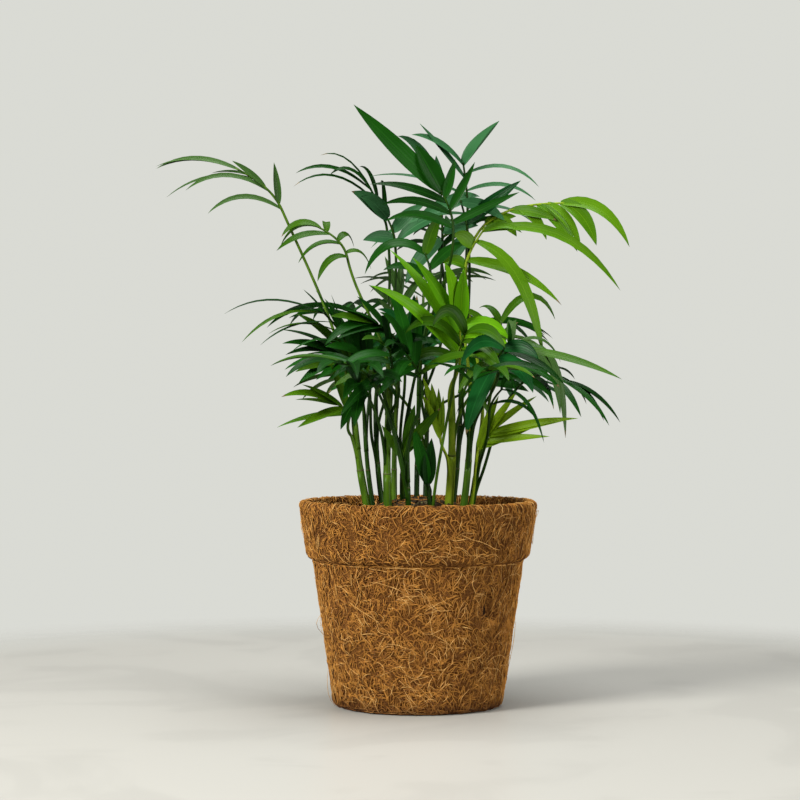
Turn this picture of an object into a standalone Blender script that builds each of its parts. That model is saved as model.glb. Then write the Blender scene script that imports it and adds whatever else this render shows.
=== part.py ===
"""A young bamboo palm, the small parlour kind, in a pot of pressed coconut fibre, at its real size.

The pot stands on the plane z = 0 with its axis on the Z axis. +X is to the right of the side that shows
best, +Y is away from it and +Z is up. The pot is turned about its axis and the compost fills it to just
under the rim. Fourteen thin canes stand in the compost. Each carries two to four fronds, and a frond is one
solid: a stalk, the rib that it runs on into, and narrow leaflets in pairs along that rib, which all arch
over under their own weight.

Tables give sizes in millimetres, as they would be measured on the plant. The rest is worked out from them.
"""

import math
import random
from typing import NamedTuple

import bmesh
import bpy
from mathutils import Quaternion, Vector
from mathutils.bvhtree import BVHTree
from mathutils.geometry import interpolate_bezier

MM = 0.001
UP = Vector((0, 0, 1))
CLEAR = 0.3 * MM  # left between two pieces that touch

# The pot: radii and heights of its outside, and the thickness of the pressed fibre
POT_HEIGHT = 130
RIM_RADIUS = 75
BAND_FOOT_RADIUS = 70.5
BAND_FOOT_HEIGHT = 97
BODY_TOP_RADIUS = 66
BODY_TOP_HEIGHT = 93
BASE_RADIUS = 53.5
BASE_ROUND = 4
RIM_ROUND = 2.5
WALL = 5
POT_STEPS = 40
ROUND_STEPS = 2

COMPOST_DEPTH_BELOW_RIM = 9
COMPOST_ROUND = 1.5

# The canes and fronds
CANE_SIDES = 6
CANE_RINGS = 4
CANE_BOW = 0.02  # a cane's bow sideways, as a share of its length
STALK_SIDES = 3
STALK_STEPS = 6
RIB_STEPS = 4
STALK_RADIUS = 1.35
KNEE_RADIUS = 1.15
RIB_TIP_RADIUS = 0.8
END_ARCH = 0.6  # how much of its arch a rib has at its tip, where it runs down, against its start
HANDLE = 0.36  # a curve's handle, as a share of the distance between its ends
LEAF_THICK = 0.9
LEAF_LINE_STEPS = 24
LEAF_RINGS = (1, 7, 13, 19)  # where the solid's rings lie along that line, which is a point at both ends
LEAF_OUTLINE = ((0.0, 0.3), (0.2, 0.85), (0.45, 1.0), (0.75, 0.72), (0.9, 0.36), (1.0, 0.02))
LAST_PLACE = 0.93  # how far along the rib the last leaflets are sunk in it, as a share of it
LEAF_BEND = 1.4  # how late along a leaflet its droop sets in
SAFE = 0.45  # millimetres that a piece keeps from the others when a place is found for it
LEAST_AWAY = 0.2  # how near its cane a stalk's middle is tried first, and the steps outward from there
AWAY_STEP = 0.15
AWAY_STEPS = 16


class Cane(NamedTuple):
    """A cane: where it stands on the compost, where its tip is, and its radius at both ends."""

    foot: tuple
    tip: tuple
    foot_radius: float
    tip_radius: float


class Leaflets(NamedTuple):
    """How long some leaflets are, their angle with the rib in degrees, and how much they droop. Along a side
    each is a pair for the first leaflet and the last, and at the rib's end a pair for the left and right."""

    reach: tuple
    spread: tuple
    droop: tuple


class Frond(NamedTuple):
    """A frond: its cane, how far up that its stalk leaves it, the places of its first and last leaflets, how
    many degrees its rib arches, the way that its upper side faces, how far its leaflets lie level instead,
    and its leaflets. Left and right are as seen from above, looking from the first leaflets to the last."""

    cane: str
    leaves_at: float
    knee: tuple
    tip: tuple
    arch: float
    face: tuple
    level: float
    pairs: int
    left: Leaflets
    right: Leaflets
    width: float
    end: Leaflets
    end_width: float
    tint: str


CANES = {
    "cane_01": Cane((-31, -10), (-40, -12, 178), 2.9, 2.0),
    "cane_02": Cane((-28, 10), (-34, 14, 176), 1.9, 1.4),
    "cane_03": Cane((-22, -3), (-27, 2, 186), 2.1, 1.5),
    "cane_04": Cane((-19, -17), (-18, -15, 200), 3.1, 2.1),
    "cane_05": Cane((-15, 17), (-13, 21, 204), 2.2, 1.5),
    "cane_06": Cane((-9, -5), (-8, -8, 172), 2.9, 1.9),
    "cane_07": Cane((-1, 12), (1, 13, 212), 2.0, 1.4),
    "cane_08": Cane((8, -20), (7, -21, 134), 1.9, 1.5),
    "cane_09": Cane((19, -7), (21, -8, 196), 3.4, 2.2),
    "cane_10": Cane((22, 16), (28, 18, 206), 2.2, 1.5),
    "cane_11": Cane((28, -14), (33, -18, 190), 2.8, 1.8),
    "cane_12": Cane((33, 3), (39, 3, 166), 2.7, 1.8),
    "cane_13": Cane((5, 29), (6, 36, 188), 2.2, 1.5),
    "cane_14": Cane((-6, -27), (-7, -32, 158), 2.1, 1.5),
}

FRONDS = {
    # The tall fronds, from left to right
    "top_left": Frond(
        "cane_07", 1.0, (22, -20, 303), (14, -20, 327), 16, (1, -10, 1), 0.3, 3,
        Leaflets((46, 52), (62, 40), (0.9, 0.4)), Leaflets((50, 20), (60, 30), (0.0, 0.2)), 6.0,
        Leaflets((76, 34), (19, 2), (0.0, 0.1)), 11.5, "deep",
    ),
    "far_left": Frond(
        "cane_01", 1.0, (-87, 5, 316), (-117, 5, 343), 24, (3, -10, 4), 0.8, 3,
        Leaflets((56, 66), (36, 22), (1.2, 0.8)), Leaflets((29, 26), (18, -30), (0.0, 0.6)), 5.2,
        Leaflets((56, 56), (14, -16), (0.9, 0.7)), 5.2, "mid",
    ),
    "left_dark": Frond(
        "cane_03", 0.7, (-38, -6, 217), (-50, -12, 224), 16, (1, -10, 6), 0.5, 3,
        Leaflets((50, 50), (58, 36), (0.2, 0.3)), Leaflets((46, 48), (18, 8), (0.4, 0.4)), 8.0,
        Leaflets((50, 46), (16, -6), (0.4, 0.4)), 8.0, "deep",
    ),
    "upper_left": Frond(
        "cane_05", 0.8, (-20, 20, 305), (-31, 16, 331), 16, (3, -10, 2), 1.2, 2,
        Leaflets((84, 74), (18, 24), (1.3, 0.9)), Leaflets((34, 30), (16, 10), (1.0, 1.0)), 4.2,
        Leaflets((66, 38), (26, -8), (1.0, 1.6)), 5.0, "deep",
    ),
    "broad_left": Frond(
        "cane_03", 1.0, (-15, 0, 297), (-20, -5, 311), 16, (2, -10, 2), 0.1, 1,
        Leaflets((24, 24), (75, 75), (0.8, 0.8)), Leaflets((30, 30), (50, 50), (0.6, 0.6)), 8.0,
        Leaflets((42, 32), (14, -10), (0.7, 0.6)), 11.0, "blue",
    ),
    "top_right": Frond(
        "cane_10", 1.0, (32, 14, 314), (29, 10, 347), 10, (0, -10, 3), 1.0, 3,
        Leaflets((74, 50), (88, 22), (1.0, -0.1)), Leaflets((44, 54), (76, 66), (0.9, 1.3)), 4.6,
        Leaflets((47, 37), (36, 42), (0.7, 0.0)), 10.0, "blue",
    ),
    "top_ovals": Frond(
        "cane_10", 0.85, (32, 4, 300), (27, 0, 322), 10, (0, -10, 3), 0.0, 1,
        Leaflets((30, 30), (135, 135), (0.5, 0.5)), Leaflets((50, 50), (62, 62), (0.0, 0.0)), 10.0,
        Leaflets((34, 30), (80, 112), (0.9, 1.0)), 8.5, "blue",
    ),
    "bright_high": Frond(
        "cane_12", 1.0, (43, 4, 307), (95, -2, 320), 24, (0, -10, 3), 0.1, 3,
        Leaflets((22, 44), (-20, -44), (0.4, 1.0)), Leaflets((20, 44), (38, 42), (1.6, 2.2)), 7.6,
        Leaflets((56, 40), (0, 22), (1.9, 2.4)), 9.0, "bright",
    ),
    "bright_low": Frond(
        "cane_11", 1.0, (30, -6, 279), (42, -10, 303), 16, (2, -10, 3), 0.3, 2,
        Leaflets((16, 16), (70, 60), (1.2, 0.8)), Leaflets((73, 96), (76, 84), (1.0, 5.6)), 9.5,
        Leaflets((100, 26), (-42, 30), (2.1, 1.2)), 6.5, "bright",
    ),
    "centre_bright": Frond(
        "cane_09", 1.0, (26, -32, 222), (26, -36, 244), 16, (1, -10, 2), 0.2, 3,
        Leaflets((84, 64), (38, 24), (0.5, 0.4)), Leaflets((38, 36), (76, 60), (1.6, 1.4)), 7.8,
        Leaflets((48, 42), (14, 0), (0.5, 0.3)), 8.0, "bright",
    ),
    # The middle and the low part of the crown
    "left_small": Frond(
        "cane_04", 1.0, (-45, -5, 285), (-64, 0, 305), 32, (3, -10, 6), 0.9, 3,
        Leaflets((28, 40), (66, 36), (2.2, 1.2)), Leaflets((26, 16), (80, 50), (2.6, 1.8)), 5.5,
        Leaflets((32, 28), (16, -10), (1.8, 1.8)), 6.0, "fresh",
    ),
    "mid_arch": Frond(
        "cane_06", 1.0, (8, -12, 272), (4, -10, 288), 16, (3, -10, 3), 0.5, 1,
        Leaflets((34, 34), (62, 62), (1.0, 1.0)), Leaflets((30, 30), (50, 50), (0.8, 0.8)), 7.5,
        Leaflets((50, 34), (40, 30), (2.6, 0.8)), 9.0, "deep",
    ),
    "middle_high": Frond(
        "cane_07", 0.85, (16, 26, 298), (15, 20, 330), 10, (-2, -10, 2), 0.4, 2,
        Leaflets((38, 38), (125, 95), (1.0, 0.8)), Leaflets((26, 26), (75, 60), (0.4, 0.4)), 11.0,
        Leaflets((56, 30), (12, -4), (1.0, 0.3)), 7.5, "blue",
    ),
    "left_middle": Frond(
        "cane_14", 0.9, (-27, -22, 212), (-35, -28, 224), 16, (2, -10, 4), 0.6, 2,
        Leaflets((34, 36), (70, 40), (0.6, 0.6)), Leaflets((30, 32), (50, 30), (0.6, 0.6)), 8.0,
        Leaflets((34, 30), (20, 10), (0.5, 0.5)), 8.0, "deep",
    ),
    "centre_arch": Frond(
        "cane_08", 0.9, (24, -38, 220), (29, -45, 236), 16, (0, -10, 6), 0.6, 2,
        Leaflets((44, 44), (66, 50), (1.6, 1.4)), Leaflets((40, 40), (70, 50), (1.4, 1.2)), 8.0,
        Leaflets((40, 42), (46, 34), (1.6, 1.2)), 8.5, "fresh",
    ),
    "young": Frond(
        "cane_09", 0.45, (14, -20, 170), (12, -21, 180), 6, (0, -10, 1), 0.1, 2,
        Leaflets((30, 28), (12, 6), (0.1, 0.1)), Leaflets((26, 26), (12, 6), (0.1, 0.1)), 4.5,
        Leaflets((34, 30), (3, 5), (0.1, 0.1)), 5.0, "lime",
    ),
    "back_small": Frond(
        "cane_05", 1.0, (-10, 24, 240), (-12, 28, 262), 16, (2, -10, 3), 0.5, 2,
        Leaflets((28, 28), (50, 35), (0.3, 0.3)), Leaflets((28, 28), (50, 35), (0.3, 0.3)), 5.0,
        Leaflets((30, 28), (14, 14), (0.1, 0.1)), 5.5, "mid",
    ),
    "left_hub": Frond(
        "cane_02", 1.0, (-45, -16, 229), (-60, -20, 250), 16, (3, -10, 8), 1.2, 3,
        Leaflets((54, 66), (52, 46), (0.9, 0.9)), Leaflets((34, 28), (6, 2), (0.3, 0.2)), 4.4,
        Leaflets((82, 82), (46, -34), (1.0, 0.9)), 4.2, "deep",
    ),
    "left_over": Frond(
        "cane_06", 0.8, (-18, -28, 237), (-29, -34, 243), 16, (1, -10, 6), 0.5, 2,
        Leaflets((42, 44), (40, 30), (0.5, 0.5)), Leaflets((30, 34), (8, -6), (0.2, 0.2)), 7.0,
        Leaflets((48, 36), (24, -10), (0.8, 0.2)), 8.0, "deep",
    ),
    "low_left": Frond(
        "cane_01", 0.9, (-43, -14, 186), (-51, -20, 192), 16, (1, -10, 4), 0.4, 2,
        Leaflets((54, 48), (62, 28), (0.3, 0.2)), Leaflets((36, 36), (25, 10), (0.2, 0.2)), 7.0,
        Leaflets((42, 50), (18, 0), (0.2, 0.8)), 7.5, "fresh",
    ),
    "low_front_left": Frond(
        "cane_04", 0.6, (-32, -30, 199), (-38, -38, 206), 20, (1, -10, 6), 0.4, 2,
        Leaflets((34, 34), (80, 60), (1.6, 1.4)), Leaflets((32, 32), (110, 80), (2.6, 2.0)), 8.0,
        Leaflets((30, 30), (30, 40), (1.4, 1.8)), 8.0, "deep",
    ),
    "front": Frond(
        "cane_14", 1.0, (1, -40, 208), (-8, -52, 224), 16, (0, -10, 10), 0.3, 3,
        Leaflets((46, 46), (58, 44), (0.8, 0.8)), Leaflets((46, 46), (58, 44), (0.8, 0.8)), 8.0,
        Leaflets((42, 42), (16, 16), (0.8, 0.8)), 8.5, "deep",
    ),
    "front_upright": Frond(
        "cane_06", 0.5, (-10, -20, 158), (-8, -21, 165), 10, (1, -10, 1), 0.1, 1,
        Leaflets((30, 30), (24, 24), (0.1, 0.1)), Leaflets((26, 26), (30, 30), (0.1, 0.1)), 6.0,
        Leaflets((30, 36), (14, 14), (0.1, 0.1)), 7.0, "fresh",
    ),
    "seedling": Frond(
        "cane_08", 1.0, (7, -21, 138), (6, -21, 142), 0, (1, -10, 0), 0.0, 0,
        Leaflets((36, 36), (10, 10), (0.0, 0.0)), Leaflets((36, 36), (10, 10), (0.0, 0.0)), 7.0,
        Leaflets((40, 30), (-4, 18), (0.0, 0.0)), 8.0, "deep",
    ),
    "right_hub": Frond(
        "cane_11", 0.8, (50, -40, 212), (56, -48, 228), 16, (2, -10, 5), 0.7, 3,
        Leaflets((40, 36), (125, 70), (2.4, 1.2)), Leaflets((42, 46), (84, 70), (1.0, 0.8)), 6.5,
        Leaflets((24, 76), (20, 60), (0.8, 0.35)), 7.0, "deep",
    ),
    "right_arcs": Frond(
        "cane_09", 0.8, (50, -8, 229), (53, -4, 244), 16, (0, -10, 5), 1.0, 1,
        Leaflets((40, 40), (50, 50), (1.3, 1.3)), Leaflets((42, 42), (80, 80), (1.1, 1.1)), 5.0,
        Leaflets((24, 58), (40, 14), (1.2, 1.6)), 5.5, "fresh",
    ),
    "right_droop": Frond(
        "cane_12", 0.75, (58, -22, 229), (72, -26, 229), 55, (0, -6, 10), 0.3, 2,
        Leaflets((30, 32), (40, 30), (2.0, 2.0)), Leaflets((40, 36), (40, 26), (2.4, 2.6)), 6.5,
        Leaflets((70, 50), (4, 16), (11.0, 5.0)), 7.0, "mid",
    ),
    "right_arch": Frond(
        "cane_12", 0.55, (68, -10, 207), (93, -12, 206), 42, (0, -5, 10), 0.5, 3,
        Leaflets((30, 34), (36, 24), (1.9, 1.8)), Leaflets((44, 48), (44, 24), (1.6, 1.3)), 6.0,
        Leaflets((44, 42), (2, 12), (1.0, 1.3)), 6.5, "deep",
    ),
    "low_fan": Frond(
        "cane_12", 0.3, (38, -18, 163), (43, -20, 174), 10, (-2, -10, 2), 0.2, 3,
        Leaflets((34, 44), (8, -6), (0.1, 0.1)), Leaflets((40, 64), (70, 44), (0.1, 0.1)), 6.2,
        Leaflets((44, 66), (-22, 30), (0.2, 0.2)), 6.2, "lime",
    ),
    "right_broad": Frond(
        "cane_11", 0.95, (47, -50, 216), (53, -55, 227), 16, (2, -10, 3), 0.1, 1,
        Leaflets((46, 46), (152, 152), (1.6, 1.6)), Leaflets((34, 34), (80, 80), (2.0, 2.0)), 11.0,
        Leaflets((34, 30), (70, 30), (2.4, 1.2)), 8.0, "blue",
    ),
    "centre_left": Frond(
        "cane_04", 0.8, (-16, -36, 212), (-18, -44, 226), 16, (0, -10, 6), 0.5, 3,
        Leaflets((44, 44), (74, 50), (1.0, 1.0)), Leaflets((40, 40), (66, 40), (1.0, 1.0)), 8.5,
        Leaflets((36, 36), (24, 16), (0.8, 0.8)), 9.0, "deep",
    ),
    "right_thin": Frond(
        "cane_12", 0.45, (44, -40, 186), (52, -46, 202), 30, (0, -10, 4), 0.6, 1,
        Leaflets((26, 26), (30, 30), (1.2, 1.2)), Leaflets((40, 40), (50, 50), (1.6, 1.6)), 4.0,
        Leaflets((40, 50), (20, 40), (2.6, 3.4)), 4.0, "deep",
    ),
    # The side that faces away, and what fills the crown all round
    "back_left": Frond(
        "cane_02", 0.8, (-36, 46, 246), (-56, 78, 256), 24, (-3, 4, 9), 0.3, 4,
        Leaflets((54, 54), (58, 40), (0.85, 0.85)), Leaflets((54, 54), (58, 40), (0.85, 0.85)), 7.0,
        Leaflets((50, 50), (14, 14), (0.85, 0.85)), 7.5, "deep",
    ),
    "back_middle": Frond(
        "cane_13", 1.0, (4, 58, 262), (6, 92, 276), 24, (0, 3, 9), 0.3, 4,
        Leaflets((56, 56), (58, 40), (0.8, 0.8)), Leaflets((56, 56), (58, 40), (0.8, 0.8)), 7.0,
        Leaflets((52, 52), (14, 14), (0.8, 0.8)), 7.5, "mid",
    ),
    "back_right": Frond(
        "cane_10", 0.8, (34, 48, 240), (50, 78, 246), 24, (3, 4, 9), 0.3, 4,
        Leaflets((52, 52), (58, 40), (0.85, 0.85)), Leaflets((52, 52), (58, 40), (0.85, 0.85)), 7.0,
        Leaflets((50, 50), (14, 14), (0.85, 0.85)), 7.5, "deep",
    ),
    "back_low_left": Frond(
        "cane_13", 0.7, (-22, 54, 206), (-44, 74, 208), 24, (-2, 3, 9), 0.3, 3,
        Leaflets((46, 46), (58, 40), (0.8, 0.8)), Leaflets((46, 46), (58, 40), (0.8, 0.8)), 7.0,
        Leaflets((44, 44), (14, 14), (0.8, 0.8)), 7.5, "fresh",
    ),
    "back_low_right": Frond(
        "cane_07", 0.6, (40, 34, 204), (64, 50, 206), 24, (3, 3, 9), 0.3, 3,
        Leaflets((44, 44), (58, 40), (0.8, 0.8)), Leaflets((44, 44), (58, 40), (0.8, 0.8)), 7.0,
        Leaflets((42, 42), (14, 14), (0.8, 0.8)), 7.5, "blue",
    ),
    "back_high": Frond(
        "cane_07", 0.8, (14, 40, 292), (22, 62, 308), 24, (1, 4, 8), 0.3, 3,
        Leaflets((50, 50), (58, 40), (0.7, 0.7)), Leaflets((50, 50), (58, 40), (0.7, 0.7)), 7.0,
        Leaflets((46, 46), (14, 14), (0.7, 0.7)), 7.5, "deep",
    ),
    "front_left": Frond(
        "cane_14", 0.7, (-30, -60, 208), (-48, -84, 217), 24, (-2, -4, 8), 0.3, 3,
        Leaflets((46, 46), (58, 40), (0.85, 0.85)), Leaflets((46, 46), (58, 40), (0.85, 0.85)), 7.0,
        Leaflets((42, 42), (14, 14), (0.85, 0.85)), 7.5, "deep",
    ),
    "front_right": Frond(
        "cane_11", 0.6, (30, -58, 205), (44, -84, 213), 24, (2, -4, 8), 0.3, 3,
        Leaflets((46, 46), (58, 40), (0.85, 0.85)), Leaflets((46, 46), (58, 40), (0.85, 0.85)), 7.0,
        Leaflets((42, 42), (14, 14), (0.85, 0.85)), 7.5, "deep",
    ),
    "inner_left": Frond(
        "cane_03", 0.85, (-22, 16, 206), (-32, 20, 222), 16, (2, -10, 3), 0.5, 3,
        Leaflets((40, 40), (70, 46), (0.8, 0.8)), Leaflets((40, 40), (70, 46), (0.8, 0.8)), 8.0,
        Leaflets((38, 38), (20, 16), (0.7, 0.7)), 8.5, "deep",
    ),
    "inner_middle": Frond(
        "cane_13", 0.85, (2, 16, 216), (-2, 12, 234), 16, (0, -10, 3), 0.5, 3,
        Leaflets((40, 40), (70, 46), (0.8, 0.8)), Leaflets((40, 40), (70, 46), (0.8, 0.8)), 8.0,
        Leaflets((38, 38), (20, 16), (0.7, 0.7)), 8.5, "blue",
    ),
    "inner_right": Frond(
        "cane_10", 0.7, (40, 14, 204), (48, 16, 218), 16, (-2, -10, 3), 0.5, 3,
        Leaflets((38, 38), (70, 46), (0.8, 0.8)), Leaflets((38, 38), (70, 46), (0.8, 0.8)), 8.0,
        Leaflets((36, 36), (20, 16), (0.7, 0.7)), 8.5, "deep",
    ),
}

TINTS = {
    "deep": (0.012, 0.075, 0.016),
    "blue": (0.014, 0.105, 0.045),
    "mid": (0.035, 0.150, 0.030),
    "fresh": (0.055, 0.165, 0.012),
    "bright": (0.085, 0.260, 0.006),
    "lime": (0.130, 0.230, 0.012),
}
COIR = (0.330, 0.155, 0.045)
COMPOST = (0.055, 0.034, 0.020)
CANE_GREEN = (0.085, 0.190, 0.035)
LEAF_ROUGHNESS = 0.42
FIBRE_ROUGHNESS = 0.95


class Solid(NamedTuple):
    """A closed shape's corners and faces."""

    corners: list
    faces: list


def finish(name, colour, roughness):
    """A plain material of one colour."""
    material = bpy.data.materials.new(name)
    material.use_nodes = True
    shader = material.node_tree.nodes["Principled BSDF"]
    shader.inputs["Base Color"].default_value = (*colour, 1)
    shader.inputs["Roughness"].default_value = roughness
    shader.inputs["Metallic"].default_value = 0
    material.diffuse_color = (*colour, 1)
    return material


def add_object(name, mesh, material=None):
    obj = bpy.data.objects.new(name, mesh)
    bpy.context.scene.collection.objects.link(obj)
    if material:
        mesh.materials.clear()
        mesh.materials.append(material)
    return obj


def mesh_of(name, solid):
    mesh = bpy.data.meshes.new(name)
    mesh.from_pydata([tuple(corner) for corner in solid.corners], [], solid.faces)
    mesh.update()
    return mesh


def turned(name, profile, material):
    """A solid of revolution about the Z axis, from a profile of (radius, height) in millimetres."""
    shape = bmesh.new()
    points = [shape.verts.new((radius * MM, 0, height * MM)) for radius, height in profile]
    edges = [shape.edges.new(pair) for pair in zip(points, points[1:])]
    bmesh.ops.spin(
        shape,
        geom=points + edges,
        axis=UP,
        cent=(0, 0, 0),
        angle=math.tau,
        steps=POT_STEPS,
        use_merge=True,
    )
    bmesh.ops.remove_doubles(shape, verts=shape.verts[:], dist=0.01 * MM)
    bmesh.ops.recalc_face_normals(shape, faces=shape.faces[:])
    mesh = bpy.data.meshes.new(name)
    shape.to_mesh(mesh)
    shape.free()
    mesh.shade_smooth()
    mesh.set_sharp_from_angle(angle=math.radians(35))
    return add_object(name, mesh, material)


def rounded(centre, radius, start, end):
    """Points (radius, height) of an arc about centre, from one angle to another in degrees."""
    for step in range(ROUND_STEPS + 1):
        angle = math.radians(start + (end - start) * step / ROUND_STEPS)
        yield centre[0] + radius * math.cos(angle), centre[1] + radius * math.sin(angle)


def inner_radius(height):
    """The radius of the pot's inside at a height, both in millimetres."""
    if height >= BAND_FOOT_HEIGHT:
        share = (height - BAND_FOOT_HEIGHT) / (POT_HEIGHT - BAND_FOOT_HEIGHT)
        return BAND_FOOT_RADIUS - WALL + share * (RIM_RADIUS - BAND_FOOT_RADIUS)
    share = height / BODY_TOP_HEIGHT
    return min(BASE_RADIUS + share * (BODY_TOP_RADIUS - BASE_RADIUS), BODY_TOP_RADIUS) - WALL


def make_pot(material):
    """The pot: a tapered body with a round foot, a wider band round its top and a flat floor."""
    profile = [(0, 0)]
    profile += rounded((BASE_RADIUS - BASE_ROUND, BASE_ROUND), BASE_ROUND, -90, 0)
    profile += [(BODY_TOP_RADIUS, BODY_TOP_HEIGHT), (BAND_FOOT_RADIUS, BAND_FOOT_HEIGHT)]
    profile += rounded((RIM_RADIUS - RIM_ROUND, POT_HEIGHT - RIM_ROUND), RIM_ROUND, 0, 180)
    profile += [(inner_radius(height), height) for height in (BAND_FOOT_HEIGHT, BODY_TOP_HEIGHT, WALL)]
    profile += [(0, WALL)]
    return turned("pot", profile, material)


def make_compost(material):
    """The compost: it fills the pot to a little under its rim, 0.3 mm clear of the wall and the floor."""
    gap = CLEAR / MM
    top = POT_HEIGHT - COMPOST_DEPTH_BELOW_RIM
    edge = inner_radius(top) - gap
    profile = [(0, WALL + gap), (inner_radius(WALL + gap) - gap, WALL + gap)]
    profile += [(inner_radius(height) - gap, height) for height in (BODY_TOP_HEIGHT, BAND_FOOT_HEIGHT)]
    profile += rounded((edge - COMPOST_ROUND, top - COMPOST_ROUND), COMPOST_ROUND, 0, 90)
    profile += [(0, top)]
    return turned("compost", profile, material)


def way_along(points, index):
    """The way that a line runs at one of its points."""
    before, after = points[max(index - 1, 0)], points[min(index + 1, len(points) - 1)]
    return (after - before).normalized()


def tube(points, radii, sides):
    """A closed tube along a line, with a radius at each of its points."""
    corners, faces = [], []
    across = way_along(points, 0).orthogonal().normalized()
    for index, (point, radius) in enumerate(zip(points, radii)):
        way = way_along(points, index)
        across = (across - way * across.dot(way)).normalized()
        for side in range(sides):
            turn = Quaternion(way, math.tau * side / sides)
            corners.append(point + turn @ across * radius)
    for ring in range(len(points) - 1):
        for side in range(sides):
            low, after = ring * sides + side, ring * sides + (side + 1) % sides
            faces.append((low, after, after + sides, low + sides))
    faces.append(tuple(reversed(range(sides))))
    faces.append(tuple(range(len(corners) - sides, len(corners))))
    return Solid(corners, faces)


def outline(along):
    """A leaflet's width at a share of its length, as a share of its greatest width."""
    for (start, low), (end, high) in zip(LEAF_OUTLINE, LEAF_OUTLINE[1:]):
        if along <= end:
            return low + (high - low) * (along - start) / (end - start)
    return LEAF_OUTLINE[-1][1]


def drooping_line(root, way, length, droop):
    """The middle line of a leaflet that leaves its root one way and bends down under its own weight."""
    points = [root.copy()]
    for step in range(LEAF_LINE_STEPS):
        along = (step + 0.5) / LEAF_LINE_STEPS
        here = (way - UP * droop * along**LEAF_BEND).normalized()
        points.append(points[-1] + here * length / LEAF_LINE_STEPS)
    return points


def leaf_solid(line, face, width, spare=0.0):
    """A leaflet as a thin blade with a keel under its middle. spare makes it that much larger all round."""
    corners, faces = [line[0] - way_along(line, 0) * spare], []
    upper = face.copy()
    for ring in LEAF_RINGS:
        way = way_along(line, ring)
        upper = (upper - way * upper.dot(way)).normalized()
        half = (width / 2 * outline(ring / LEAF_LINE_STEPS)) * MM + spare
        thick = LEAF_THICK * MM * (0.5 + 0.5 * outline(ring / LEAF_LINE_STEPS)) + spare
        across = way.cross(upper)
        corners += [
            line[ring] - across * half + upper * spare,
            line[ring] - upper * thick,
            line[ring] + across * half + upper * spare,
        ]
    corners.append(line[-1] + way_along(line, LEAF_LINE_STEPS) * spare)
    last = len(corners) - 1
    for side in range(3):
        after = (side + 1) % 3
        faces.append((0, side + 1, after + 1))
        for ring in range(1, last - 3, 3):
            faces.append((ring + side, ring + side + 3, ring + after + 3, ring + after))
        faces.append((last, last - 3 + after, last - 3 + side))
    return Solid(corners, faces)


class Room:
    """The space that is taken so far, against which a new piece is tried."""

    def __init__(self):
        self.taken = []

    def add(self, owner, solid):
        low = [min(corner[axis] for corner in solid.corners) for axis in range(3)]
        high = [max(corner[axis] for corner in solid.corners) for axis in range(3)]
        self.taken.append((owner, BVHTree.FromPolygons(solid.corners, solid.faces), low, high))

    def is_free(self, solid, ignore=()):
        low = [min(corner[axis] for corner in solid.corners) for axis in range(3)]
        high = [max(corner[axis] for corner in solid.corners) for axis in range(3)]
        tree = None
        for owner, other, other_low, other_high in self.taken:
            if owner in ignore:
                continue
            if any(low[axis] > other_high[axis] or other_low[axis] > high[axis] for axis in range(3)):
                continue
            tree = tree or BVHTree.FromPolygons(solid.corners, solid.faces)
            if tree.overlap(other):
                return False
        return True


def cane_point(cane, share):
    """The middle of a cane at a share of its length from the foot."""
    top = (POT_HEIGHT - COMPOST_DEPTH_BELOW_RIM) * MM + CLEAR
    foot = Vector((cane.foot[0] * MM, cane.foot[1] * MM, top))
    tip = Vector(cane.tip) * MM
    outward = Vector((foot.x, foot.y, 0))
    bow = outward.normalized() * CANE_BOW * (tip - foot).length * math.sin(math.pi * share)
    return foot.lerp(tip, share) + bow


def cane_radius(cane, share):
    return (cane.foot_radius + (cane.tip_radius - cane.foot_radius) * share**0.6) * MM


def cane_solid(cane):
    """A cane: it flares a little at its foot, has a flat cut there and tapers to its tip."""
    shares = [ring / CANE_RINGS for ring in range(CANE_RINGS + 1)]
    solid = tube(
        [cane_point(cane, share) for share in shares],
        [cane_radius(cane, share) for share in shares],
        CANE_SIDES,
    )
    for corner in solid.corners[:CANE_SIDES]:
        corner.z = cane_point(cane, 0).z
    return solid


def root_of(frond, away):
    """Where a frond's stalk leaves its cane, the way that it starts, and its radius there. It leaves the
    cane's tip, or its side, where away is how far its middle stands off from the cane's surface."""
    cane = CANES[frond.cane]
    point = cane_point(cane, frond.leaves_at)
    way = (cane_point(cane, frond.leaves_at) - cane_point(cane, frond.leaves_at - 0.1)).normalized()
    radius = min(STALK_RADIUS * MM, cane_radius(cane, frond.leaves_at))
    if frond.leaves_at == 1:
        return point + way * CLEAR, way, radius
    outward = Vector(frond.knee) * MM - point
    outward = (outward - way * outward.dot(way)).normalized()
    side = point + outward * (cane_radius(cane, frond.leaves_at) + away)
    return side, (way + outward * 0.25).normalized(), radius


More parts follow.
